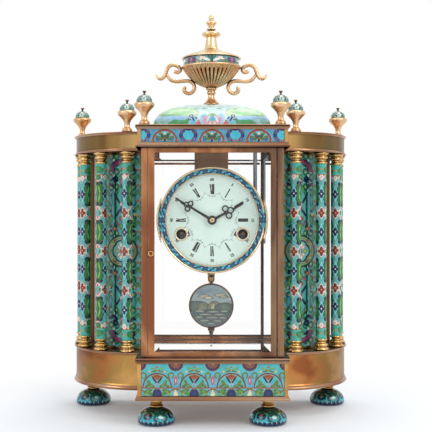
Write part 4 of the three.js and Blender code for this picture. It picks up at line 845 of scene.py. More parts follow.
def paint_between(mesh, low, high, number, within=None):
    """Give a material's number to the faces with their middle between the heights low and high, in mm, and,
    with within = (x, y, r), further than r from the upright line at x, y."""
    middles = middles_of(mesh)
    chosen = (middles[:, 2] > low) & (middles[:, 2] < high)
    if within is not None:
        chosen &= np.hypot(middles[:, 0] - within[0], middles[:, 1] - within[1]) > within[2]
    return number_faces(mesh, np.where(chosen, number, read(mesh.polygons, "material_index", 1)[:, 0]))


def softened(node, material, width=0.4, segments=2):
    """A copy of a CAD node with its edges broken by a bevel of width mm, which catches the light as real
    metal does. The copy is merged first, because the node is loose triangles. Width 0 keeps flat faces."""
    source = frame["nodes"][node]
    mesh = source.data.copy()
    mesh.materials.clear()
    work = bmesh.new()
    work.from_mesh(mesh)
    bmesh.ops.remove_doubles(work, verts=work.verts, dist=1e-6)
    bmesh.ops.dissolve_limit(work, angle_limit=math.radians(1), verts=work.verts, edges=work.edges)
    work.to_mesh(mesh)
    work.free()
    piece = bpy.data.objects.new(node + "_finished", mesh)
    scene.collection.objects.link(piece)
    mesh.materials.append(material)
    mesh.shade_smooth()
    mesh.set_sharp_from_angle(angle=math.radians(30 if width else 1))
    if width:
        bevel = piece.modifiers.new("broken_edges", "BEVEL")
        bevel.width, bevel.segments, bevel.limit_method = width * MM, segments, "ANGLE"
        bevel.angle_limit, bevel.harden_normals = math.radians(40), True
        bevel.use_clamp_overlap = True
    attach(piece, source["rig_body"])
    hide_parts(node)
    return piece


print("surface helpers ready")

# %% [markdown]
# ## Plan of the case
# Base and top share one plan: a block with a quarter ellipse on either side and a flat back. As a function
# of how far it is grown, it always has the same number of points, so bands are swept by stacking plans.

# %% Plan
X_BLOCK, Y_WALL, Y_BACK = 85.5, -80.0, 82.5  # side, front and back of the block
WING, Y_WING = 88.0, 70.5  # half axis of a wing's bow and the line it ends on
X_POST, PANEL_X, RECESS = 81.5, 81.3, 2.5  # outer side of a post, half width and depth of the panel's recess
LIP = 2.5  # how far a plate's edge stands out


def plan(grow, recess=0.0, steps=40):
    """Outline of block and wings in mm, grown outwards: a line, an ellipse of half axes WING + grow, the
    front with its recess for the panel, and the same mirrored."""
    a = WING + grow
    end = math.acos(min(1, max(-1, grow / a)))
    t = np.linspace(0, end, steps)
    bow = np.stack([X_BLOCK + a * np.cos(t), Y_WING - a * np.sin(t)], 1)
    front = Y_WALL - grow
    corner = [[X_BLOCK + grow, front], [PANEL_X, front], [PANEL_X, front + recess]]
    half = np.concatenate([[[X_BLOCK + a, Y_BACK]], bow, corner])
    return np.concatenate([half, half[::-1] * [-1, 1]])


def block_plan(grow, y_side=-17.5):
    """Outline of the block's own plate: wide in front of the wings, narrow between them."""
    x, front = X_BLOCK + grow, Y_WALL - grow
    half = np.array([[X_POST, Y_BACK], [X_POST, y_side - 2.5], [x, y_side - 2.5], [x, front]])
    return np.concatenate([half, half[::-1] * [-1, 1]])


def stacked(name, rows):
    """Sweep of outlines: rows of (outline, height) joined by quads and closed by flat caps."""
    points = np.array([np.column_stack([outline, np.full(len(outline), z)]) for outline, z in rows])
    return grid_mesh(name, points, wrap=True, caps=True)


print("plan points", len(plan(0)))

# %% [markdown]
# ## Base
# The floor plates flare outwards in a small cove and have a rounded edge. The curved bands between them
# are bent sheet. Cove and edge are a profile of (how far out, height), swept round the plan.

# %% Base
def cove(z_in, z_out, out=LIP, inner=0.6):
    """Profile of a flared plate edge: out at z_out, drawn in to inner at z_in along a quarter bow."""
    t = np.linspace(0, np.pi / 2, 7)
    return np.stack([inner + (out - inner) * (1 - np.cos(t)), z_in + (z_out - z_in) * np.sin(t) * 0.72], 1)


def plate_rows(shape, low, high, flare):
    """Rows for a plate between two heights; flare is +1 where it widens upwards and -1 downwards."""
    start, end = (low, high) if flare > 0 else (high, low)
    edge = cove(start, end)
    edge = np.concatenate([edge, [[LIP, edge[-1][1] * 0.35 + end * 0.65], [LIP - 0.3, end]]])
    return [(shape(out), z) for out, z in edge[::flare]]


base_plate = stacked("base_plate", plate_rows(plan, PLATE_TOP - 4.7, PLATE_TOP, -1))
nut_profile = rounded([(0, -1.6), (1.6, -1.6), (2.4, -0.6), (2.4, 1), (0, 1)], 0.5)
nuts = [lathe("nut", nut_profile, 16, (side * x, y, PLATE_TOP - 4.7))
        for side in (-1, 1) for x, y in ((102.3, -8.7), (77.7, -70.2))]
add_piece("base_plate_finished", merged("base_plate", [base_plate, *nuts]), [edging], ["base_plate"])

rolled = ((0.8, WALL_LOW), (0.1, WALL_LOW + 1.3), (0, WALL_LOW + 2.7), (0, WING_FLOOR - 2.9))
walls = stacked("walls", [(plan(out, RECESS), z) for out, z in rolled])
deck = stacked("deck", plate_rows(plan, WING_FLOOR - 3, WING_FLOOR, 1))
floor = stacked("floor", plate_rows(block_plan, FLOOR - 6, FLOOR, 1))
base_box = merged("base_box", [walls, deck, floor])
paint_between(base_box, WING_FLOOR - 3.1, FLOOR + 4, 1)
add_piece("base_box_finished", base_box, [aged, edging], ["base_box"])
print("base", len(base_box.polygons), "faces")

# %% Entablature
ceiling = merged("ceiling", [
    stacked("wings", plate_rows(plan, CEILING, CEILING + 3, -1)),
    stacked("block", plate_rows(block_plan, CEILING, CEILING_TOP, -1)),
])
add_piece("ceiling_plate_finished", ceiling, [edging], ["ceiling_plate"])
top_walls = stacked("walls", [(plan(0, RECESS), z) for z in (CEILING + 3.3, WING_TOP - 2.9)])
top_lid = stacked("lid", plate_rows(plan, WING_TOP - 3, WING_TOP, 1))
block_lid = stacked("block_lid", plate_rows(block_plan, TOP - 3.4, TOP, 1))
top_box = merged("top_box", [top_walls, top_lid, block_lid])
paint_between(top_box, WING_TOP - 3.1, TOP + 4, 1)
add_piece("top_box_finished", top_box, [olive, edging], ["top_box"])
print("entablature", len(top_box.polygons), "faces")

# %% [markdown]
# ## Front panels
# Each is a sheet of copper with its edges turned back, enamelled on the front, and let into the recess
# between the corners of the box. Its face bulges by a quarter of a millimetre from the firing.

# %% Front panels
def front_panel(node, material):
    """A grid over the panel's face, y = front - bulge (1 - x^2)(1 - z^2), carried round its edges."""
    low, high = span(node)
    middle, half = (low + high) / 2, (high - low) / 2
    s = np.concatenate([[-1], np.linspace(-1, 1, 41), [1]])
    x, z = np.meshgrid(s, s)
    points = np.empty((*x.shape, 3))
    points[..., 0], points[..., 2] = middle[0] + x * half[0], middle[2] + z * half[2]
    points[..., 1] = low[1] + 0.3 - 0.25 * (1 - x ** 2) * (1 - z ** 2)
    points[[0, -1], :, 1] = high[1]
    points[:, [0, -1], 1] = high[1]
    mesh = grid_mesh(node, points, points[0, :, 0], points[:, 0, 2] - middle[2])
    back = grid_mesh(node, points[[0, -1]][:, [0, -1]])
    return add_piece(node + "_finished", merged(node, [mesh, back]), [material], [node])


front_panel("base_front_panel", base_enamel)
front_panel("top_front_panel", top_enamel)
print("front panels done")

# %% [markdown]
# ## Feet
# Bun feet, spun from copper and enamelled, each under a turned brass collar.

# %% Feet
BUN = [(0, 0), (18.4, 0), (21.2, 1.2), (22, 3.4), (22, 6.2), (21, 10), (18.4, 13.6), (14.4, 16.5),
       (10, 18.3), (6.6, 19), (0, 19.2)]
COLLAR = [(0, 18.6), (6.6, 19), (8.4, 19.8), (8.6, 21), (7.2, 22.4), (5.8, 23.2), (6.6, 24.6), (7.6, 25.8),
          (7.6, 31.2), (0, 31.2)]


def foot(node):
    """Bun and collar turned round the foot's own axis; faces above the bun are brass."""
    low, high = span(node)
    x, y = (low + high)[:2] / 2
    mesh = merged(node, [lathe("bun", rounded(BUN, 2.4), 64, (x, y, 0), width=21),
                         lathe("collar", rounded(COLLAR, 0.7), 40, (x, y, 0))])
    paint_between(mesh, 18.9, 32, 1, (x, y, 0))
    return add_piece(node + "_finished", mesh, [foot_enamel, gilt], [node])


for node in ("front_foot_left", "front_foot_right", "wing_foot_left", "wing_foot_right"):
    foot(node)
print("feet done")

# %% [markdown]
# ## Columns
# A turned brass base and capital with an enamelled tube between them. The three are one profile; the tube
# takes the lattice, whose UV starts at the middle of the shaft so that both ends match.

# %% Columns
COLUMN_LOW, COLUMN_HIGH = (corner[2] for corner in span("column_left_1"))
SHAFT_LOW, SHAFT_HIGH = COLUMN_LOW + 14.5, COLUMN_HIGH - 14.5
COLUMN_BASE = [(0, 0), (9.2, 0), (9.4, 1.8), (8, 3), (6.8, 4), (8.3, 5.6), (8.3, 7), (5.9, 8.8), (5.6, 10.4),
               (7.6, 12), (7.6, 13.4), (6.5, 14), (0, 14.4)]


def column(node, shift):
    """shift turns the pattern round the shaft, in mm of arc. The capital is the base upside down."""
    low, high = span(node)
    x, y = (low + high)[:2] / 2
    turned = rounded(COLUMN_BASE, 0.9)
    z = np.linspace(SHAFT_LOW - 1, SHAFT_HIGH + 1, 12)
    shaft = lathe("shaft", np.column_stack([np.full(12, SHAFT_R), z]), 48, (x, y, 0), width=SHAFT_R)
    shift_uv(shaft, (shift, -(SHAFT_HIGH - SHAFT_LOW + 2) / 2))
    mesh = merged(node, [lathe("base", turned, 40, (x, y, COLUMN_LOW)),
                         lathe("capital", turned * [1, -1], 40, (x, y, COLUMN_HIGH)), shaft])
    paint_between(mesh, SHAFT_LOW - 0.9, SHAFT_HIGH + 0.9, 1, (x, y, SHAFT_R - 0.2))
    return add_piece(node + "_finished", mesh, [gilt, column_enamel], [node])


for word, shifts in (("left", (3.2, -6, 3.6, 4.4)), ("right", (3.2, 0.6, 2, 1.2))):
    for i, shift in enumerate(shifts):
        column(f"column_{word}_{i + 1}", shift)
print("columns done")

# %% [markdown]
# ## Wing shells
# A bowed sheet of cloisonne in a thin brass frame, closed behind by a flat brass sheet whose edge stands out
# as a strip. The outline is one closed line seen from above, carried from the base's deck to the ceiling.

# %% Wing shells
SHELL_BOW, SHELL_IN, SHELL_BACK = 65, 81.8, 82.2  # half axis of the bow, inner side and back, mm


def wing_shell(word, side):
    """Round the bow runs (X_BLOCK + r sin t, Y_WING - r cos t), with r 2 mm less on the way back inside."""
    node = f"wing_shell_{word}"
    t = np.linspace(0, np.pi / 2, 60)
    z = np.array([COLUMN_LOW, COLUMN_LOW + 2.4, COLUMN_HIGH - 2.4, COLUMN_HIGH])

    def bow(radius, t):
        return np.stack([X_BLOCK + radius * np.sin(t), Y_WING - radius * np.cos(t)], 1)

    closed = np.concatenate([
        [[SHELL_IN, 5.5]], bow(SHELL_BOW, t), [[150.5, SHELL_BACK], [SHELL_IN, SHELL_BACK]],
        [[SHELL_IN, 80.2], [148.5, 80.2], [148.5, Y_WING]], bow(SHELL_BOW - 2, t[::-1]), [[SHELL_IN, 7.5]]])
    outline = np.concatenate([closed, closed[:1]])
    points = np.empty((len(z), len(outline), 3))
    points[..., 0], points[..., 1], points[..., 2] = side * outline[:, 0], outline[:, 1], z[:, None]
    u = np.concatenate([[0], np.cumsum(np.hypot(*np.diff(outline, axis=0).T))])
    sheet = grid_mesh(node, points, u, z - z[0])
    caps = stacked("caps", [(closed * [side, 1], z[0]), (closed * [side, 1], z[-1])])
    work = bmesh.new()
    work.from_mesh(caps)
    bmesh.ops.delete(work, geom=[f for f in work.faces if abs(f.normal.z) < 0.5], context="FACES_ONLY")
    work.to_mesh(caps)
    work.free()
    edge = np.array([[150.3, 76], [157, 76], [157, 82], [150.3, 82]]) * [side, 1]
    whole = merged(node, [sheet, caps, stacked("strip", [(edge, COLUMN_LOW), (edge, COLUMN_HIGH)])])
    middles = middles_of(whole)
    across, back = np.abs(middles[:, 0]) - X_BLOCK, Y_WING - middles[:, 1]
    outside = (np.degrees(np.arctan2(across, back)) < 76) & (np.hypot(across, back) > SHELL_BOW - 0.8)
    number_faces(whole, outside & (middles[:, 2] > z[1]) & (middles[:, 2] < z[2]))
    return add_piece(node + "_finished", whole, [backing, shell_enamel], [node])


for side, word in ((-1, "left"), (1, "right")):
    wing_shell(word, side)
print("wing shells done")

# %% [markdown]
# ## Finials
# A turned brass cup on a stem, with an enamelled cap and a small dark knob.

# %% Finials
CUP = [(0, 0), (6.5, 0), (6.5, 1.8), (5.6, 2.8), (6, 3.8), (3.7, 5.4), (3.2, 8.4), (3.6, 11), (5, 14.4),
       (8.2, 18), (11, 20.6), (11.7, 22.4), (11.6, 24.2), (10, 25.6), (0, 25.8)]
CAP = [(0, 25.4), (9.2, 25.4), (9.2, 27.4), (8.8, 29.8), (7, 32.4), (4, 34.4), (0, 35)]
KNOB = [(0, 34.6), (1.3, 34.8), (1.2, 37), (2.3, 37.6), (2.3, 38.6), (1.2, 39.2), (0, 39.4)]


def finial(node):
    """Cup, cap and knob turned round one axis, told apart afterwards by height and radius."""
    low, high = span(node)
    foot = (*(low + high)[:2] / 2, low[2])
    mesh = merged(node, [lathe("cup", rounded(CUP, 1.2), 40, foot),
                         lathe("cap", rounded(CAP, 1.6), 40, foot, width=9.2),
                         lathe("knob", rounded(KNOB, 0.5), 20, foot)])
    x, y, height = middles_of(mesh, foot).T
    far = np.hypot(x, y)
    number_faces(mesh, np.where((height > 34.6) & (far < 2.6), 2, (height > 25.9) & (far > 1.9)))
    return add_piece(node + "_finished", mesh, [satin, cap_enamel, brown_brass_and_painted_shade], [node])


for word in ("left", "right"):
    for spot in ("inner", "outer", "front"):
        finial(f"finial_{word}_{spot}")
print("finials done")

# %% [markdown]
# ## Dome
# A pillow on a rounded rectangle. Its outline and its section are both superellipses, whose powers make
# the crown nearly flat and the shoulders full. Seen from above the pattern would smear down the sides, so
# its UV is the way round the foot and the way up the slope.

# %% Dome
DOME_X, DOME_Y, DOME_RISE, DOME_SEAT = 70.5, 55, 31.4, TOP + 0.3  # half width and depth, height, foot


def dome():
    """x = a cos(h)^k cos(t)^c, y = b cos(h)^k sin(t)^c, z = height sin(h)^k, with signs kept."""
    def power(value, exponent):
        return np.sign(value) * np.abs(value) ** exponent

    outline, section = 2 / 7, 2 / 2.3
    t = np.arange(160) / 160 * 2 * np.pi
    h = np.linspace(0, 1, 28)[:, None] ** 1.15 * np.pi / 2
    spread = np.abs(np.cos(h)) ** section
    points = np.empty((len(h) + 1, len(t), 3))
    points[1:, :, 0] = DOME_X * spread * power(np.cos(t), outline)
    points[1:, :, 1] = DOME_Y * spread * power(np.sin(t), outline)
    points[1:, :, 2] = DOME_SEAT + DOME_RISE * np.sin(h) ** section
    points[0] = (0, 0, DOME_SEAT)
    foot = np.concatenate([points[1], points[1, :1]])
    round_it = np.concatenate([[0], np.cumsum(np.hypot(*np.diff(foot[:, :2], axis=0).T))])
    round_it = (round_it / round_it[-1] - 0.75) * DOME_ROUND
    rise = np.linalg.norm(np.diff(points[1:, 120], axis=0), axis=1)
    up = np.concatenate([[-60, 0], np.cumsum(rise)])
    mesh = grid_mesh("dome", points, round_it, up, wrap=True)
    return add_piece("dome_finished", mesh, [dome_enamel], ["dome"], sharp=50)


dome()
print("dome done")

# %% [markdown]
# ## Urn
# The bowl is gadrooned: hollow flutes run up it from the stem to a plain rim. Their depth fades out at
# both ends. Scroll handles are cast in one with it, swept with a round section that swells and tapers.

# %% Urn
URN_Z = span("urn_bowl")[0][2]
HANDLE_UPPER = [(68.2, 37.6), (65.2, 33.6), (61.2, 32.3), (57.4, 35.2), (55, 41.2), (53, 45.8), (49, 48.8),
                (44.4, 48.8), (39.6, 46.4), (38.2, 42.6), (40.6, 40), (44.2, 40.6)]
HANDLE_LOWER = [(55, 41.2), (53, 34.8), (49, 30.6), (42.4, 28.8), (34.6, 29.4), (27.4, 29.4), (22.6, 26.8),
                (20.6, 21.8), (22.2, 17), (26.6, 14.2), (31.2, 15.2), (33.4, 18.2), (32.6, 20.6)]


def smooth_line(points, count):
    """Catmull-Rom curve through points: from b to c, with a before and d after them, it is
    b + (c - a) t / 2 + (2 a - 5 b + 4 c - d) t^2 / 2 + (3 b - a - 3 c + d) t^3 / 2."""
    p = np.array(points, float)
    p = np.concatenate([[2 * p[0] - p[1]], p, [2 * p[-1] - p[-2]]])
    at = np.linspace(0, len(points) - 1 - 1e-6, count)
    i = at.astype(int)
    t = (at - i)[:, None]
    a, b, c, d = p[i], p[i + 1], p[i + 2], p[i + 3]
    return 0.5 * (2 * b + (c - a) * t + (2 * a - 5 * b + 4 * c - d) * t ** 2
                  + (3 * b - a - 3 * c + d) * t ** 3)


def swept(name, line, radii, sides=14):
    """Round tube along a line in the XZ plane: centre + r (cos a n + sin a y), n square to the line."""
    along = np.gradient(line, axis=0)
    along /= np.hypot(*along.T)[:, None]
    normal = np.stack([-along[:, 1], along[:, 0]], 1)
    angle = np.arange(sides) / sides * 2 * np.pi
    points = np.empty((len(line), sides, 3))
    points[..., 0] = line[:, :1] + radii[:, None] * np.cos(angle) * normal[:, :1]
    points[..., 1] = radii[:, None] * np.sin(angle)
    points[..., 2] = line[:, 1:] + radii[:, None] * np.cos(angle) * normal[:, 1:]
    return grid_mesh(name, points, wrap=True, caps=True)


def fluted_bowl():
    """Radius r(z) (1 - depth (1 - cos(n a)) / 2), with depth fading to nothing at both ends."""
    profile = rounded([(5.6, 20.8), (8.4, 21.6), (14.6, 23.8), (21.2, 28.2), (27.4, 33.8), (32, 39.4),
                       (35.6, 44.8)], 3, 6)
    flutes, sides = 36, 36 * 8
    angle = np.arange(sides) / sides * 2 * np.pi
    share = np.linspace(0, 1, len(profile))
    depth = 0.1 * np.clip(share * 20, 0, 1) * np.clip((1 - share) * 12, 0, 1)
    hollow = np.abs(np.cos(flutes * angle / 2)) ** 0.8
    radius = profile[:, :1] * (1 - depth[:, None] * (1 - hollow[None]))
    points = np.empty((len(profile), sides, 3))
    points[..., 0], points[..., 1] = radius * np.cos(angle), radius * np.sin(angle)
    points[..., 2] = URN_Z + profile[:, 1:]
    return grid_mesh("bowl", points, wrap=True, caps=True)


STEM = [(0, 0), (10.4, 0), (10.3, 1.2), (7.6, 3.8), (5.2, 6.4), (3.9, 9.4), (3.7, 12.4), (5.6, 14),
        (5.6, 15.4), (4.7, 16.6), (5, 17.8), (6.6, 18.8), (6.8, 20.6), (6, 21.2), (0, 21.3)]
RIM = [(0, 44.2), (35.4, 44.3), (36.5, 45), (36.5, 46.2), (34.9, 47.6), (0, 47.7)]
BAND = [(0, 47.2), (BAND_FOOT, 47.3), (BAND_FOOT, 55.2), (0, 55.3)]
stem = lathe("stem", rounded(STEM, 0.9), 48, (0, 0, URN_Z))
rim = lathe("rim", rounded(RIM, 0.5), 96, (0, 0, URN_Z))
band = number_faces(lathe("band", BAND, 96, (0, 0, URN_Z), width=BAND_FOOT), 1)
handles = []
share = np.linspace(0, 1, 90)
radii = 2.3 * np.clip(np.minimum(share * 5 + 0.3, (1 - share) * 4 + 0.72), 0, 1)
for side in (-1, 1):
    for route in (HANDLE_UPPER, HANDLE_LOWER):
        handles.append(swept("handle", smooth_line(route, len(share)) * [side, 1] + [0, URN_Z], radii))
    for x, z, r in ((44, 40.6, 2.3), (32.4, 20.6, 2.2)):
        ball = rounded([(0, -r), (r * 0.7, -r * 0.9), (r, 0), (r * 0.7, r * 0.9), (0, r)], 1.4)
        handles.append(lathe("bud", ball, 16, (side * x, 0, URN_Z + z)))
urn = merged("urn", [stem, fluted_bowl(), rim, band, *handles])
add_piece("urn_bowl_finished", urn, [satin, band_enamel], ["urn_bowl"])
print("urn", len(urn.polygons), "faces")

# %% [markdown]
# The lid is one turning, from a low cone through a waisted stem and two rings to the spire.

# %% Urn lid
LID = [
    (0, 0), (36, 0), (36.5, 0.6), (36.1, 1.5), (30, 4.3), (22, 7.2), (14.6, 9.8), (9.8, 11.8), (8.4, 13.6),
    (7.4, 17), (6.5, 22), (6.1, 26.6), (7.4, 27.6), (10.8, 28.8), (11.6, 30.2), (11.6, 31.6), (10.4, 32.8),
    (6.6, 33.4), (3.4, 34.6), (3.6, 35.4), (6.1, 36.2), (6.1, 37.2), (3.2, 38.2), (3.2, 39.8), (4.8, 42),
    (6.8, 44), (6.6, 45.4), (3.4, 47), (2.3, 48.4), (3.3, 50), (3.3, 51.6), (2.1, 53.8), (0, 55.8)]
lid = lathe("lid", rounded(LID, 0.8), 64, (0, 0, span("urn_lid")[0][2]))
add_piece("urn_lid_finished", lid, [pale], ["urn_lid"])
print("urn lid done")

# %% [markdown]
# ## Case, doors and panes
# The posts and door frames are square bar. Their CAD solids are right, so they only need broken edges. The
# panes keep their flat faces and sharp ground edges, because a smoothed pane bends light like a lens.

# %% Case
for node in ("post_front_left", "post_front_right", "post_back_left", "post_back_right"):
    softened(node, bronzed, 0.5)
for node in ("front_door_frame", "back_door_frame"):
    softened(node, bronzed, 0.4)
for node in ("side_pane_left", "side_pane_right", "front_door_pane", "back_door_pane"):
    softened(node, glass, 0)
print("case done")

# %% [markdown]
# The floor of the case and its ceiling are thin polished sheets, let in between the doors. The photograph
# shows the pendulum's point mirrored in the floor.

# %% Polished floor and ceiling of the case
mirror = mottled("polished_plated_sheet", ("EDEBE4", "F8F7F2"), 40, gloss=(0.03, 0.09), Metallic=1)
sheet_plan = np.array([(73, 74), (-73, 74), (-73, -66.4), (73, -66.4)])
for name, z in (("case_floor_sheet", FLOOR), ("case_ceiling_sheet", CEILING - 0.2)):
    add_piece(name, stacked(name, [(sheet_plan, z + 0.001), (sheet_plan, z + 0.2)]), [mirror])
print("case sheets done")

# %% [markdown]
# A door opens by a ring-shaped press button in its frame. The back door also has a narrow bead across,
# which shows through the case as a thin line under the ceiling.

# %% Door buttons and bead
BUTTON = [(0, 1.2), (1.4, 1.2), (1.9, 0.4), (2.8, 0), (3.5, 0.9), (3.5, 2.1), (1.6, 2.3)]


def door_button(node, body, turn):
    """Turned about the door's depth: a ring-shaped head on a stem, as a lathe laid on its side."""
    low, high = span(node)
    centre, length = (low + high) / 2, high[1] - low[1]
    mesh = lathe(node, rounded([*BUTTON, (1.6, length), (0, length)], 0.35), 32)
    start = np.array([centre[0], low[1] if turn > 0 else high[1], centre[2]])
    points = read(mesh.vertices, "co", 3)[:, [0, 2, 1]] * [1, turn, 1] + start * MM
    mesh.vertices.foreach_set("co", points.ravel())
    x, _, z = middles_of(mesh, centre).T
    far = np.hypot(x, z)
    number_faces(mesh, (far > 2.3) & (far < 3.3))
    return add_piece(node + "_finished", mesh, [bronzed, gilt], [node], body=body)


bead = np.array([[65, 76], [-65, 76], [-65, 79], [65, 79]])
add_piece("back_door_bead", stacked("bead", [(bead, 308.4), (bead, 311.2)]), [bronzed], body="back_door")
door_button("front_door_button", "front_button", 1)
door_button("back_door_button", "back_button", -1)
print("door buttons done")

# %% [markdown]
# ## Dial
# White vitreous enamel on copper, slightly domed, with painted black numerals. They are thin shapes lying
# on the enamel: strokes for the roman hours, short strokes for the minutes, and pale painted garlands.

# %% Dial enamel
dial_white = mottled("white_vitreous_enamel", ("CFE6DA", "DEF1E7"), 60, Roughness=0.16, IOR=1.52,
                     Coat_Weight=0.4, Coat_Roughness=0.05)


def paint_material(name, tone, rough):
    """Painted line fired on the dial: one pigment, thinner in places, so it is a little uneven."""
    material, tree, shader = new_material(name, Roughness=rough)
    place = add_node(tree, "ShaderNodeTexCoord", out=3)
    thin = add_node(tree, "ShaderNodeTexNoise", {"Vector": place, "Scale": 700, "Detail": 2})
    value = add_node(tree, "ShaderNodeMapRange", {"Value": thin, "To Min": 0.8, "To Max": 1.25})
    mixed = add_node(tree, "ShaderNodeVectorMath", {0: linear(tone)[:3], "Scale": value}, operation="SCALE")
    tree.links.new(mixed, shader.inputs["Base Color"])
    return material


black_paint = paint_material("black_dial_paint", "17181C", 0.35)
grey_paint = paint_material("grey_dial_paint", "8A9A96", 0.4)
# near-black paint for the cups behind the winding holes: painted shade inside the holes
hole_shade_paint = paint_material("winding_hole_painted_shade", "140C07", 0.7)
print("dial finishes ready")

# %% Dial
DIAL = (0, -42.0, (span("bezel")[0][2] + span("bezel")[1][2]) / 2)  # middle of the dial's face
HOLES = ((36, -16.5), (-36, -16.5))  # winding holes, from there
GROMMET = [(6.2, 0.6), (6.2, -0.3), (6.5, -0.9), (7.2, -1.1), (7.9, -0.8), (8.1, 0.1), (8.1, 0.6), (6.2, 0.6)]
SHADE_CUP_WALL = [(6.15, -0.2), (6.15, 8.4), (3, 8.4), (3, 8.8), (6.5, 8.8), (6.5, -0.2), (6.15, -0.2)]
ARBOR_RING = [(3.4, 0.4), (3.4, -0.5), (4.2, -0.7), (5.2, -0.3), (5.4, 0.4), (3.4, 0.4)]


def laid_back(mesh, at):
    """Turn a mesh made round Z so that its axis runs to the back: (x, y, z) goes to (x, z, -y) + at."""
    points = read(mesh.vertices, "co", 3)[:, [0, 2, 1]] * [1, 1, -1] + np.array(at) * MM
    mesh.vertices.foreach_set("co", points.ravel())
    return mesh


softened("dial", dial_white, 0.25)
rings = [laid_back(lathe("grommet", rounded(GROMMET, 0.3), 48), (x, DIAL[1], DIAL[2] + z)) for x, z in HOLES]
rings.append(laid_back(lathe("arbor_ring", rounded(ARBOR_RING, 0.3), 32), DIAL))
add_piece("dial_grommets", merged("grommets", rings), [pale])
# painted shade: a near-black cup behind each winding hole stands in for the shade inside it
shade_cups = [laid_back(lathe("cup", SHADE_CUP_WALL, 40), (x, DIAL[1], DIAL[2] + z)) for x, z in HOLES]
add_piece("dial_winding_hole_shade", merged("shade_cups", shade_cups), [hole_shade_paint])
print("dial with", len(rings), "rings")

# %% [markdown]
# The hour letters are drawn from three strokes, I, V and X, each a few straight bars in a box one high, with
# a thick and a thin side and short feet. A font would need a licence and has no such narrow letters.

# %% Numerals
def strokes(name, segments, y, thick=0.08):
    """Flat bars: each from a to b with its width at both ends, as a thin prism. Corners are a and b plus and
    minus half the width along the line's normal; all bars are worked out together."""
    s = np.array(segments, float)
    a, b, wa, wb = s[:, 0:2], s[:, 2:4], s[:, 4:5], s[:, 5:6]
    along = b - a
    normal = np.stack([-along[:, 1], along[:, 0]], 1) / np.hypot(*along.T)[:, None]
    flat = np.stack([a - normal * wa / 2, b - normal * wb / 2, b + normal * wb / 2, a + normal * wa / 2], 1)
    corners = np.empty((len(s), 8, 3))
    corners[:, :4, 0], corners[:, :4, 2], corners[:, :4, 1] = flat[..., 0], flat[..., 1], y - thick
    corners[:, 4:, 0], corners[:, 4:, 2], corners[:, 4:, 1] = flat[..., 0], flat[..., 1], y
    corners += [0, 0, DIAL[2]]
    box = np.array([[0, 1, 2, 3], [7, 6, 5, 4], [0, 4, 5, 1], [1, 5, 6, 2], [2, 6, 7, 3], [3, 7, 4, 0]])
    faces = (np.arange(len(s))[:, None, None] * 8 + box[None]).reshape(-1, 4)
    mesh = bpy.data.meshes.new(name)
    mesh.from_pydata((corners.reshape(-1, 3) * MM).tolist(), [], faces.tolist())
    mesh.uv_layers.new(name="UVMap")
    return mesh


THICK, THIN, FOOT_LINE = 0.16, 0.06, 0.05
STROKES = {  # each letter's width in a box one high, and its bars: from, to, line
    "I": (0.32, [(0, -0.5, 0, 0.5, THICK), (-0.11, 0.5, 0.11, 0.5, FOOT_LINE),
                 (-0.11, -0.5, 0.11, -0.5, FOOT_LINE)]),
    "V": (0.62, [(-0.22, 0.5, 0, -0.5, THICK), (0.22, 0.5, 0, -0.5, THIN), (-0.34, 0.5, -0.1, 0.5, FOOT_LINE),
                 (0.12, 0.5, 0.34, 0.5, FOOT_LINE)]),
    "X": (0.62, [(-0.24, 0.5, 0.24, -0.5, THICK), (0.24, 0.5, -0.24, -0.5, THIN),
                 (-0.34, 0.5, -0.14, 0.5, FOOT_LINE), (0.14, -0.5, 0.34, -0.5, FOOT_LINE)]),
}
HOURS = ("XII", "I", "II", "III", "IIII", "V", "VI", "VII", "VIII", "IX", "X", "XI")
LETTER_HIGH, LETTER_RADIUS, NARROW, WEIGHT = 11.6, 36.4, 0.36, 8.4


def around(degrees):
    """Unit vectors out from the dial's middle and to the right of that, clockwise from twelve."""
    turn = math.radians(degrees)
    return np.array([math.sin(turn), math.cos(turn)]), np.array([math.cos(turn), -math.sin(turn)])


bars = []
for hour, word in enumerate(HOURS):
    out, side = around(hour * 30)
    x = -sum(STROKES[letter][0] for letter in word) / 2
    for letter in word:
        step, letter_bars = STROKES[letter]
        for x0, z0, x1, z1, line in letter_bars:
            for px, pz in ((x0, z0), (x1, z1)):
                across = (x + step / 2 + px) * LETTER_HIGH * NARROW
                bars.append(across * side + (LETTER_RADIUS + pz * LETTER_HIGH) * out)
            bars[-2:] = [[*bars[-2], *bars[-1], line * WEIGHT, line * WEIGHT]]
        x += step
for minute in range(60):
    out, side = around(minute * 6)
    if minute % 5:
        bars.append([*(50.4 * out), *(51.2 * out), 0.3, 0.3])
add_piece("dial_numerals", strokes("numerals", bars, DIAL[1]), [black_paint], sharp=20)
print("numeral bars", len(bars))

# %% [markdown]
# The minute figures are small enough for Blender's own font. Text is a curve, so each figure is made a mesh
# before it is turned into its place; those below the middle are turned once more, to stand upright.

# %% Minute figures and garlands
FIGURE_RADIUS = 47.6


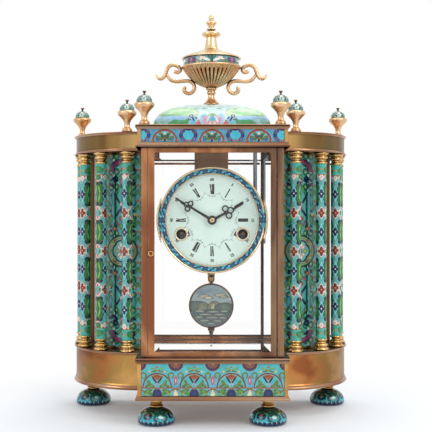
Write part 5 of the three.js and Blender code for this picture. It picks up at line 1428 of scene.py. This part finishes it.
def figures():
    """The numbers 5 to 60 round the edge, each at the figure radius times out, plus its x times side."""
    meshes = []
    for hour in range(1, 13):
        curve = bpy.data.curves.new("figure", "FONT")
        curve.body, curve.size, curve.align_x, curve.align_y = str(hour * 5), 4.6, "CENTER", "CENTER"
        curve.extrude, curve.offset = 0.04, 0.17
        helper = bpy.data.objects.new("figure", curve)
        scene.collection.objects.link(helper)
        bpy.context.view_layer.update()
        mesh = bpy.data.meshes.new_from_object(helper.evaluated_get(bpy.context.evaluated_depsgraph_get()))
        bpy.data.objects.remove(helper)
        x, z, depth = read(mesh.vertices, "co", 3).T
        flip = -1 if 3 < hour < 9 else 1
        out, side = around(hour * 30)
        flat = x[:, None] * flip * side + (z[:, None] * flip + FIGURE_RADIUS) * out
        points = np.stack([flat[:, 0], DIAL[1] - 0.05 + depth, DIAL[2] + flat[:, 1]], 1)
        mesh.vertices.foreach_set("co", points.ravel() * MM)
        mesh.materials.clear()
        meshes.append(mesh)
    return merged("figures", meshes)


add_piece("dial_minute_figures", figures(), [black_paint], sharp=20)
swags = []
for hour in range(12):
    t = np.linspace(-1, 1, 11)
    turn = math.radians(hour * 30) + t * math.radians(13.4)
    radius = 28 + 4.6 * t ** 2
    line = np.stack([radius * np.sin(turn), radius * np.cos(turn)], 1)
    width = 0.25 + 0.6 * (1 - np.abs(t))
    swags += [[*line[i], *line[i + 1], width[i], width[i + 1]] for i in range(10)]
    for at, low, high in ((0, 26.6, 28), (7, 27.8, 29.6), (-7, 27.8, 29.6), (15, 31.4, 34.6)):
        out, side = around(hour * 30 + at)
        swags.append([*(out * low), *(out * high), 1.1, 0.4])
add_piece("dial_garlands", strokes("garlands", swags, DIAL[1], 0.05), [grey_paint],
          sharp=20)
print("garland bars", len(swags))

# %% [markdown]
# ## Bezel
# A turned brass ring whose face is enamelled between two raised beads, with a plain drum behind.

# %% Bezel
DRUM = [(57.3, -9.5), (60.2, -9.5), (60.2, 1.3), (61.4, 3.6), (62.5, 4.6), (62.4, 5.6), (61.4, 6.2),
        (60.4, 5.6), (60, 4.6)]
FACE = np.array([(60, 4.7), (58, 4.1), (56, 3.6), (54.8, 3.3)])
BEAD = [(54.9, 3.4), (54.3, 3.9), (53.6, 3.3), (53.5, 0.4), (57.3, 0.4), (57.3, -9.5)]
rings = [laid_back(lathe("ring", part * [1, -1], 128), (0, DIAL[1] - 0.3, DIAL[2]))
         for part in (rounded(DRUM, 0.5), FACE, rounded(BEAD, 0.35))]
shift_uv(rings[1], (0, -2.7), (57.5 / 60, 1))
number_faces(rings[1], 1)
add_piece("bezel_finished", merged("bezel", rings), [pale, ring_enamel], ["bezel"])
print("bezel done")

# %% [markdown]
# ## Hands
# Pierced trefoil hands, cut from steel sheet and blued almost to black. A loop is a ring of round section,
# the arm and the tip are tapered bars. They are drawn towards twelve, then turned to the time shown.

# %% Hands
blacked = mottled("blued_steel_near_black", ("060609", "0E0E14"), 200, detail=2, Roughness=0.4)
HOUR_TURN, MINUTE_TURN = 62, 301  # ten past two, less a minute, as in the photograph
HAND_Y = {"hour_hand": -44.6, "minute_hand": -46.6}


def hoop(radius, wire, x, z):
    """Ring in the XZ plane: centre + (radius + wire cos b) (cos a, sin a), depth wire sin b."""
    a, b = np.meshgrid(np.arange(36) / 36 * 2 * np.pi, np.arange(8) / 8 * 2 * np.pi, indexing="ij")
    out = radius + wire * np.cos(b)
    points = np.stack([x + out * np.cos(a), 0.4 * np.sin(b), z + out * np.sin(a)], 2)
    return grid_mesh("hoop", np.concatenate([points, points[:1]]), wrap=True)


def arm(stations):
    """Bar of lens-shaped section through (height, half width) stations up the Z axis, closed at both ends."""
    rows = np.array(stations, float)
    b = np.arange(8) / 8 * 2 * np.pi
    points = np.empty((len(rows), 8, 3))
    points[..., 0] = rows[:, 1:] * np.cos(b)
    points[..., 1] = 0.4 * np.sin(b)
    points[..., 2] = rows[:, :1]
    return grid_mesh("arm", points, wrap=True, caps=True)


def hand(node, body, length, at, loop, hub, turn, extra=()):
    """A hub, an arm up to the height at, a trefoil of three loops there, and a tip to the full length."""
    offset, tip = loop * 1.15, at + loop * 1.15 + loop - 0.6
    boss = rounded([(1.7, -0.4), (hub, -0.4), (hub, 0.4), (1.7, 0.4), (1.7, -0.4)], 0.15)
    knot = rounded([(0, -0.5), (1.5, -0.4), (1.5, 0.4), (0, 0.5)], 0.2)
    whole = merged(node, [
        laid_back(lathe("boss", boss, 32), (0, 0, 0)),
        arm([(1.9, 1.8), (at - 3, 1.25), (at, 1.5)]), arm([(tip, 1.2), (length - 2, 1.1), (length, 0.5)]),
        *(hoop(loop - 0.6, 0.82, x, z) for x, z in ((-offset, at), (offset, at), (0, at + offset))),
        laid_back(lathe("knot", knot, 20), (0, 0, at)),
    ])
    place = Matrix.Translation(Vector((0, HAND_Y[node], DIAL[2])) * MM)
    whole.transform(place @ Matrix.Rotation(math.radians(turn), 4, "Y"))
    return add_piece(node + "_finished", merged(node, [whole, *extra]), [blacked, pale], [node], body=body)


PIPE = [(1.6, 0.2), (2.6, 0.2), (2.6, 12.2), (1.6, 12.2), (1.6, 0.2)]
COLLET = [(0, -1.5), (0.7, -1.5), (0.9, -1.9), (2.4, -1.8), (2.9, -1.2), (2.9, -0.3), (0, -0.3)]
pipe = laid_back(lathe("pipe", PIPE, 24), (0, HAND_Y["hour_hand"], DIAL[2]))
collet = laid_back(lathe("collet", rounded(COLLET, 0.25), 28), (0, HAND_Y["minute_hand"], DIAL[2]))
number_faces(collet, 1)
hand("hour_hand", "hour_pipe", 41.5, 20, 3.9, 5, HOUR_TURN, [pipe])
hand("minute_hand", "centre_arbor", 50.5, 31.5, 3.2, 5.4, MINUTE_TURN, [collet])
print("hands done")

# %% [markdown]
# ## Movement and pendulum
# Plates, barrels and wheels are grained brass with polished edges; arbors show at their ends.

# %% Movement
# the back plate and barrels take the darker copy of the plate brass, as painted shade
for node in ("movement_back_plate", "going_barrel", "strike_barrel"):
    softened(node, brown_brass_and_painted_shade, 0.15, segments=1)
for node in ("movement_front_plate", "second_wheel", "centre_wheel", "third_wheel", "escape_wheel"):
    softened(node, plate, 0.15, segments=1)
for node in ("anchor", "gong", "hammer"):
    softened(node, ground, 0.2)
softened("pendulum_rod", plate, 0.25)
softened("rating_nut", brown_brass_and_painted_shade, 0.3)
print("movement done")

# %% [markdown]
# The bob is a shallow lens. Its front is enamelled with a small landscape: a pale sky with two clouds, low
# hills, and ripples on water below them. It has a dark rim and a brass back.

# %% Pendulum bob
def draw_landscape(tree, paint, point):
    ink = "37423E"
    table = [
        (0, 18, 32, 17, ["93AAB4", "A9B8BA"], dict(wire=0.05, line=WIRE)),
        (-10, 17, 9, 3.4, ["7E9AAC", "93AAB4"], dict(turn=10, wire=0.05, line=WIRE)),
        (-9, 11.6, 6.4, 1.9, ["CFC8AE", "B4B49C"]),
        (-3.6, 10, 5, 1.5, ["DAD2B8", "C2BEA2"]),
        (11, 13, 6.6, 1.9, ["CFC8AE", "B4B49C"]),
        (15, 11, 5, 1.4, ["BDB89C", "A4A48C"]),
        (-17, -1, 14, 7, ["6F8278", "56665E"]),
        (-10, -2.4, 7, 6.8, ["8E947C", "6F7A68"]),
        (4, -2.6, 8.4, 8.4, ["A9A48A", "7E826E"]),
        (2.4, -2.4, 3.4, 6, ["C4BC9E", "9A977E"]),
        (16, -3, 12, 7, ["74867C", "586860"]),
        (0, -19.6, 34, 15.4, ["6F8084", "5A6C70"]),
    ]
    for x, z, half in ((-14, -6.6, 6), (2, -7.4, 8), (16, -6.8, 5), (-7, -10.6, 8), (10, -10.8, 7),
                       (-15, -14, 5), (1, -14.4, 8), (14, -14.8, 5), (-8, -18.2, 6), (7, -18.6, 6),
                       (0, -22, 5)):
        table += [(x, z, half, 1.3, ["B9B8A0", "8C948A"], dict(above=(0, 1, z - 0.4)))]
    return cells(tree, paint, point, table, line=ink)


bob_enamel = enamel("painted_enamel_landscape", "8C9C9A", draw_landscape, rough=0.3)
BOB = (0, 6, span("pendulum_bob")[1][2] - 27)
LENS = [(0, -4.9), (8, -4.8), (16, -4.4), (25, -3.4), (25.5, -4.3), (26.4, -3.8), (27, -1.6), (27, 1.6),
        (22, 3.6), (12, 4.9), (0, 5)]
bob = laid_back(lathe("bob", rounded(LENS, 0.7) * [1.02, 1], 96), BOB)
corners = read(bob.loops, "vertex_index", 1)[:, 0].astype(int)
flat = (read(bob.vertices, "co", 3)[corners] - np.array(BOB) * MM)[:, [0, 2]]
bob.uv_layers["UVMap"].data.foreach_set("uv", flat.ravel())
x, y, z = middles_of(bob, BOB).T
number_faces(bob, np.where(y > 0, 2, np.hypot(x, z) >= 25.6))
add_piece("pendulum_bob_finished", bob, [bob_enamel, brown_brass_and_painted_shade, plate], ["pendulum_bob"], body="pendulum")
print("bob done")

# %% [markdown]
# ## Room
# Floor and backdrop are white paper. Near the clock the floor keeps nearly all of its own shading, so that
# the shadow shows; further out it fades into the white of the world, as a paper sweep does. The light stays
# plain: a broad key from the upper right, a softer one from the left, a large one above, and a world that
# is brighter overhead than below.

# %% Floor, world and lamps
floor_material, tree, shader = new_material("white_paper_floor", Base_Color=linear("F2F7FC"), Roughness=0.8,
                                            Specular_IOR_Level=0.1)
place = add_node(tree, "ShaderNodeTexCoord", out=3)
grain = add_node(tree, "ShaderNodeTexNoise", {"Vector": place, "Scale": 300})
tooth = add_node(tree, "ShaderNodeBump", {"Strength": 0.02, "Distance": 0.0002, "Height": grain})
tree.links.new(tooth, shader.inputs["Normal"])
far = add_node(tree, "ShaderNodeVectorMath", {0: place}, out=1, operation="LENGTH")
fade = add_node(tree, "ShaderNodeMapRange",
                {"Value": far, "From Min": 0.16, "From Max": 0.4, "To Min": 0.1, "To Max": 1.0},
                interpolation_type="SMOOTHSTEP")
share = add_node(tree, "ShaderNodeMath", {0: sees_background(tree), 1: fade}, operation="MULTIPLY")
glow = add_node(tree, "ShaderNodeEmission", {"Color": (1, 1, 1, 1), "Strength": 1.0})
paper = add_node(tree, "ShaderNodeMixShader", {0: share, 1: shader.outputs[0], 2: glow})
tree.links.new(paper, tree.nodes["Material Output"].inputs[0])
SWEEP = 6000  # half the floor's side, mm
sweep = np.full((2, 2, 3), -0.2)
sweep[..., 0], sweep[..., 1] = np.meshgrid([-SWEEP, SWEEP], [-SWEEP, SWEEP])
floor_mesh = grid_mesh("floor", sweep)
floor_mesh.materials.append(floor_material)
floor_object = bpy.data.objects.new("floor", floor_mesh)
scene.collection.objects.link(floor_object)

world = bpy.data.worlds.new("studio")
scene.world = world
world.use_nodes = True
tree = world.node_tree
tree.nodes.clear()
up = add_node(tree, "ShaderNodeSeparateXYZ", {0: add_node(tree, "ShaderNodeTexCoord")}, out=2)
sky = add_node(tree, "ShaderNodeMapRange",
               {"Value": up, "From Min": -0.3, "From Max": 0.7, "To Min": 0.4, "To Max": 0.7})
level = add_node(tree, "ShaderNodeMix", {0: sees_background(tree), 2: sky, 3: 1.0}, data_type="FLOAT")
background = add_node(tree, "ShaderNodeBackground", {"Color": (1, 1, 1, 1), "Strength": level})
add_node(tree, "ShaderNodeOutputWorld", {0: background}, out=slice(0))


def soft_lamp(name, place, aim, size, power):
    """A square lamp at a place, turned to face a point; power in watts."""
    lamp = bpy.data.lights.new(name, "AREA")
    lamp.shape, lamp.size, lamp.energy = "SQUARE", size, power
    holder = bpy.data.objects.new(name, lamp)
    holder.location = place
    away = np.array(place) - np.array(aim)
    tilt, heading = math.atan2(math.hypot(away[0], away[1]), away[2]), math.atan2(away[0], -away[1])
    holder.rotation_euler = (tilt, 0, heading)
    scene.collection.objects.link(holder)
    return holder


soft_lamp("key", (1.2, -1.3, 1.4), (0, 0, 0.24), 0.9, 15)
soft_lamp("fill", (-1.4, -1.1, 0.9), (0, 0, 0.24), 0.8, 7)
soft_lamp("top", (0.2, 0.2, 1.9), (0, 0, 0.3), 1.2, 10.5)
print("room done")
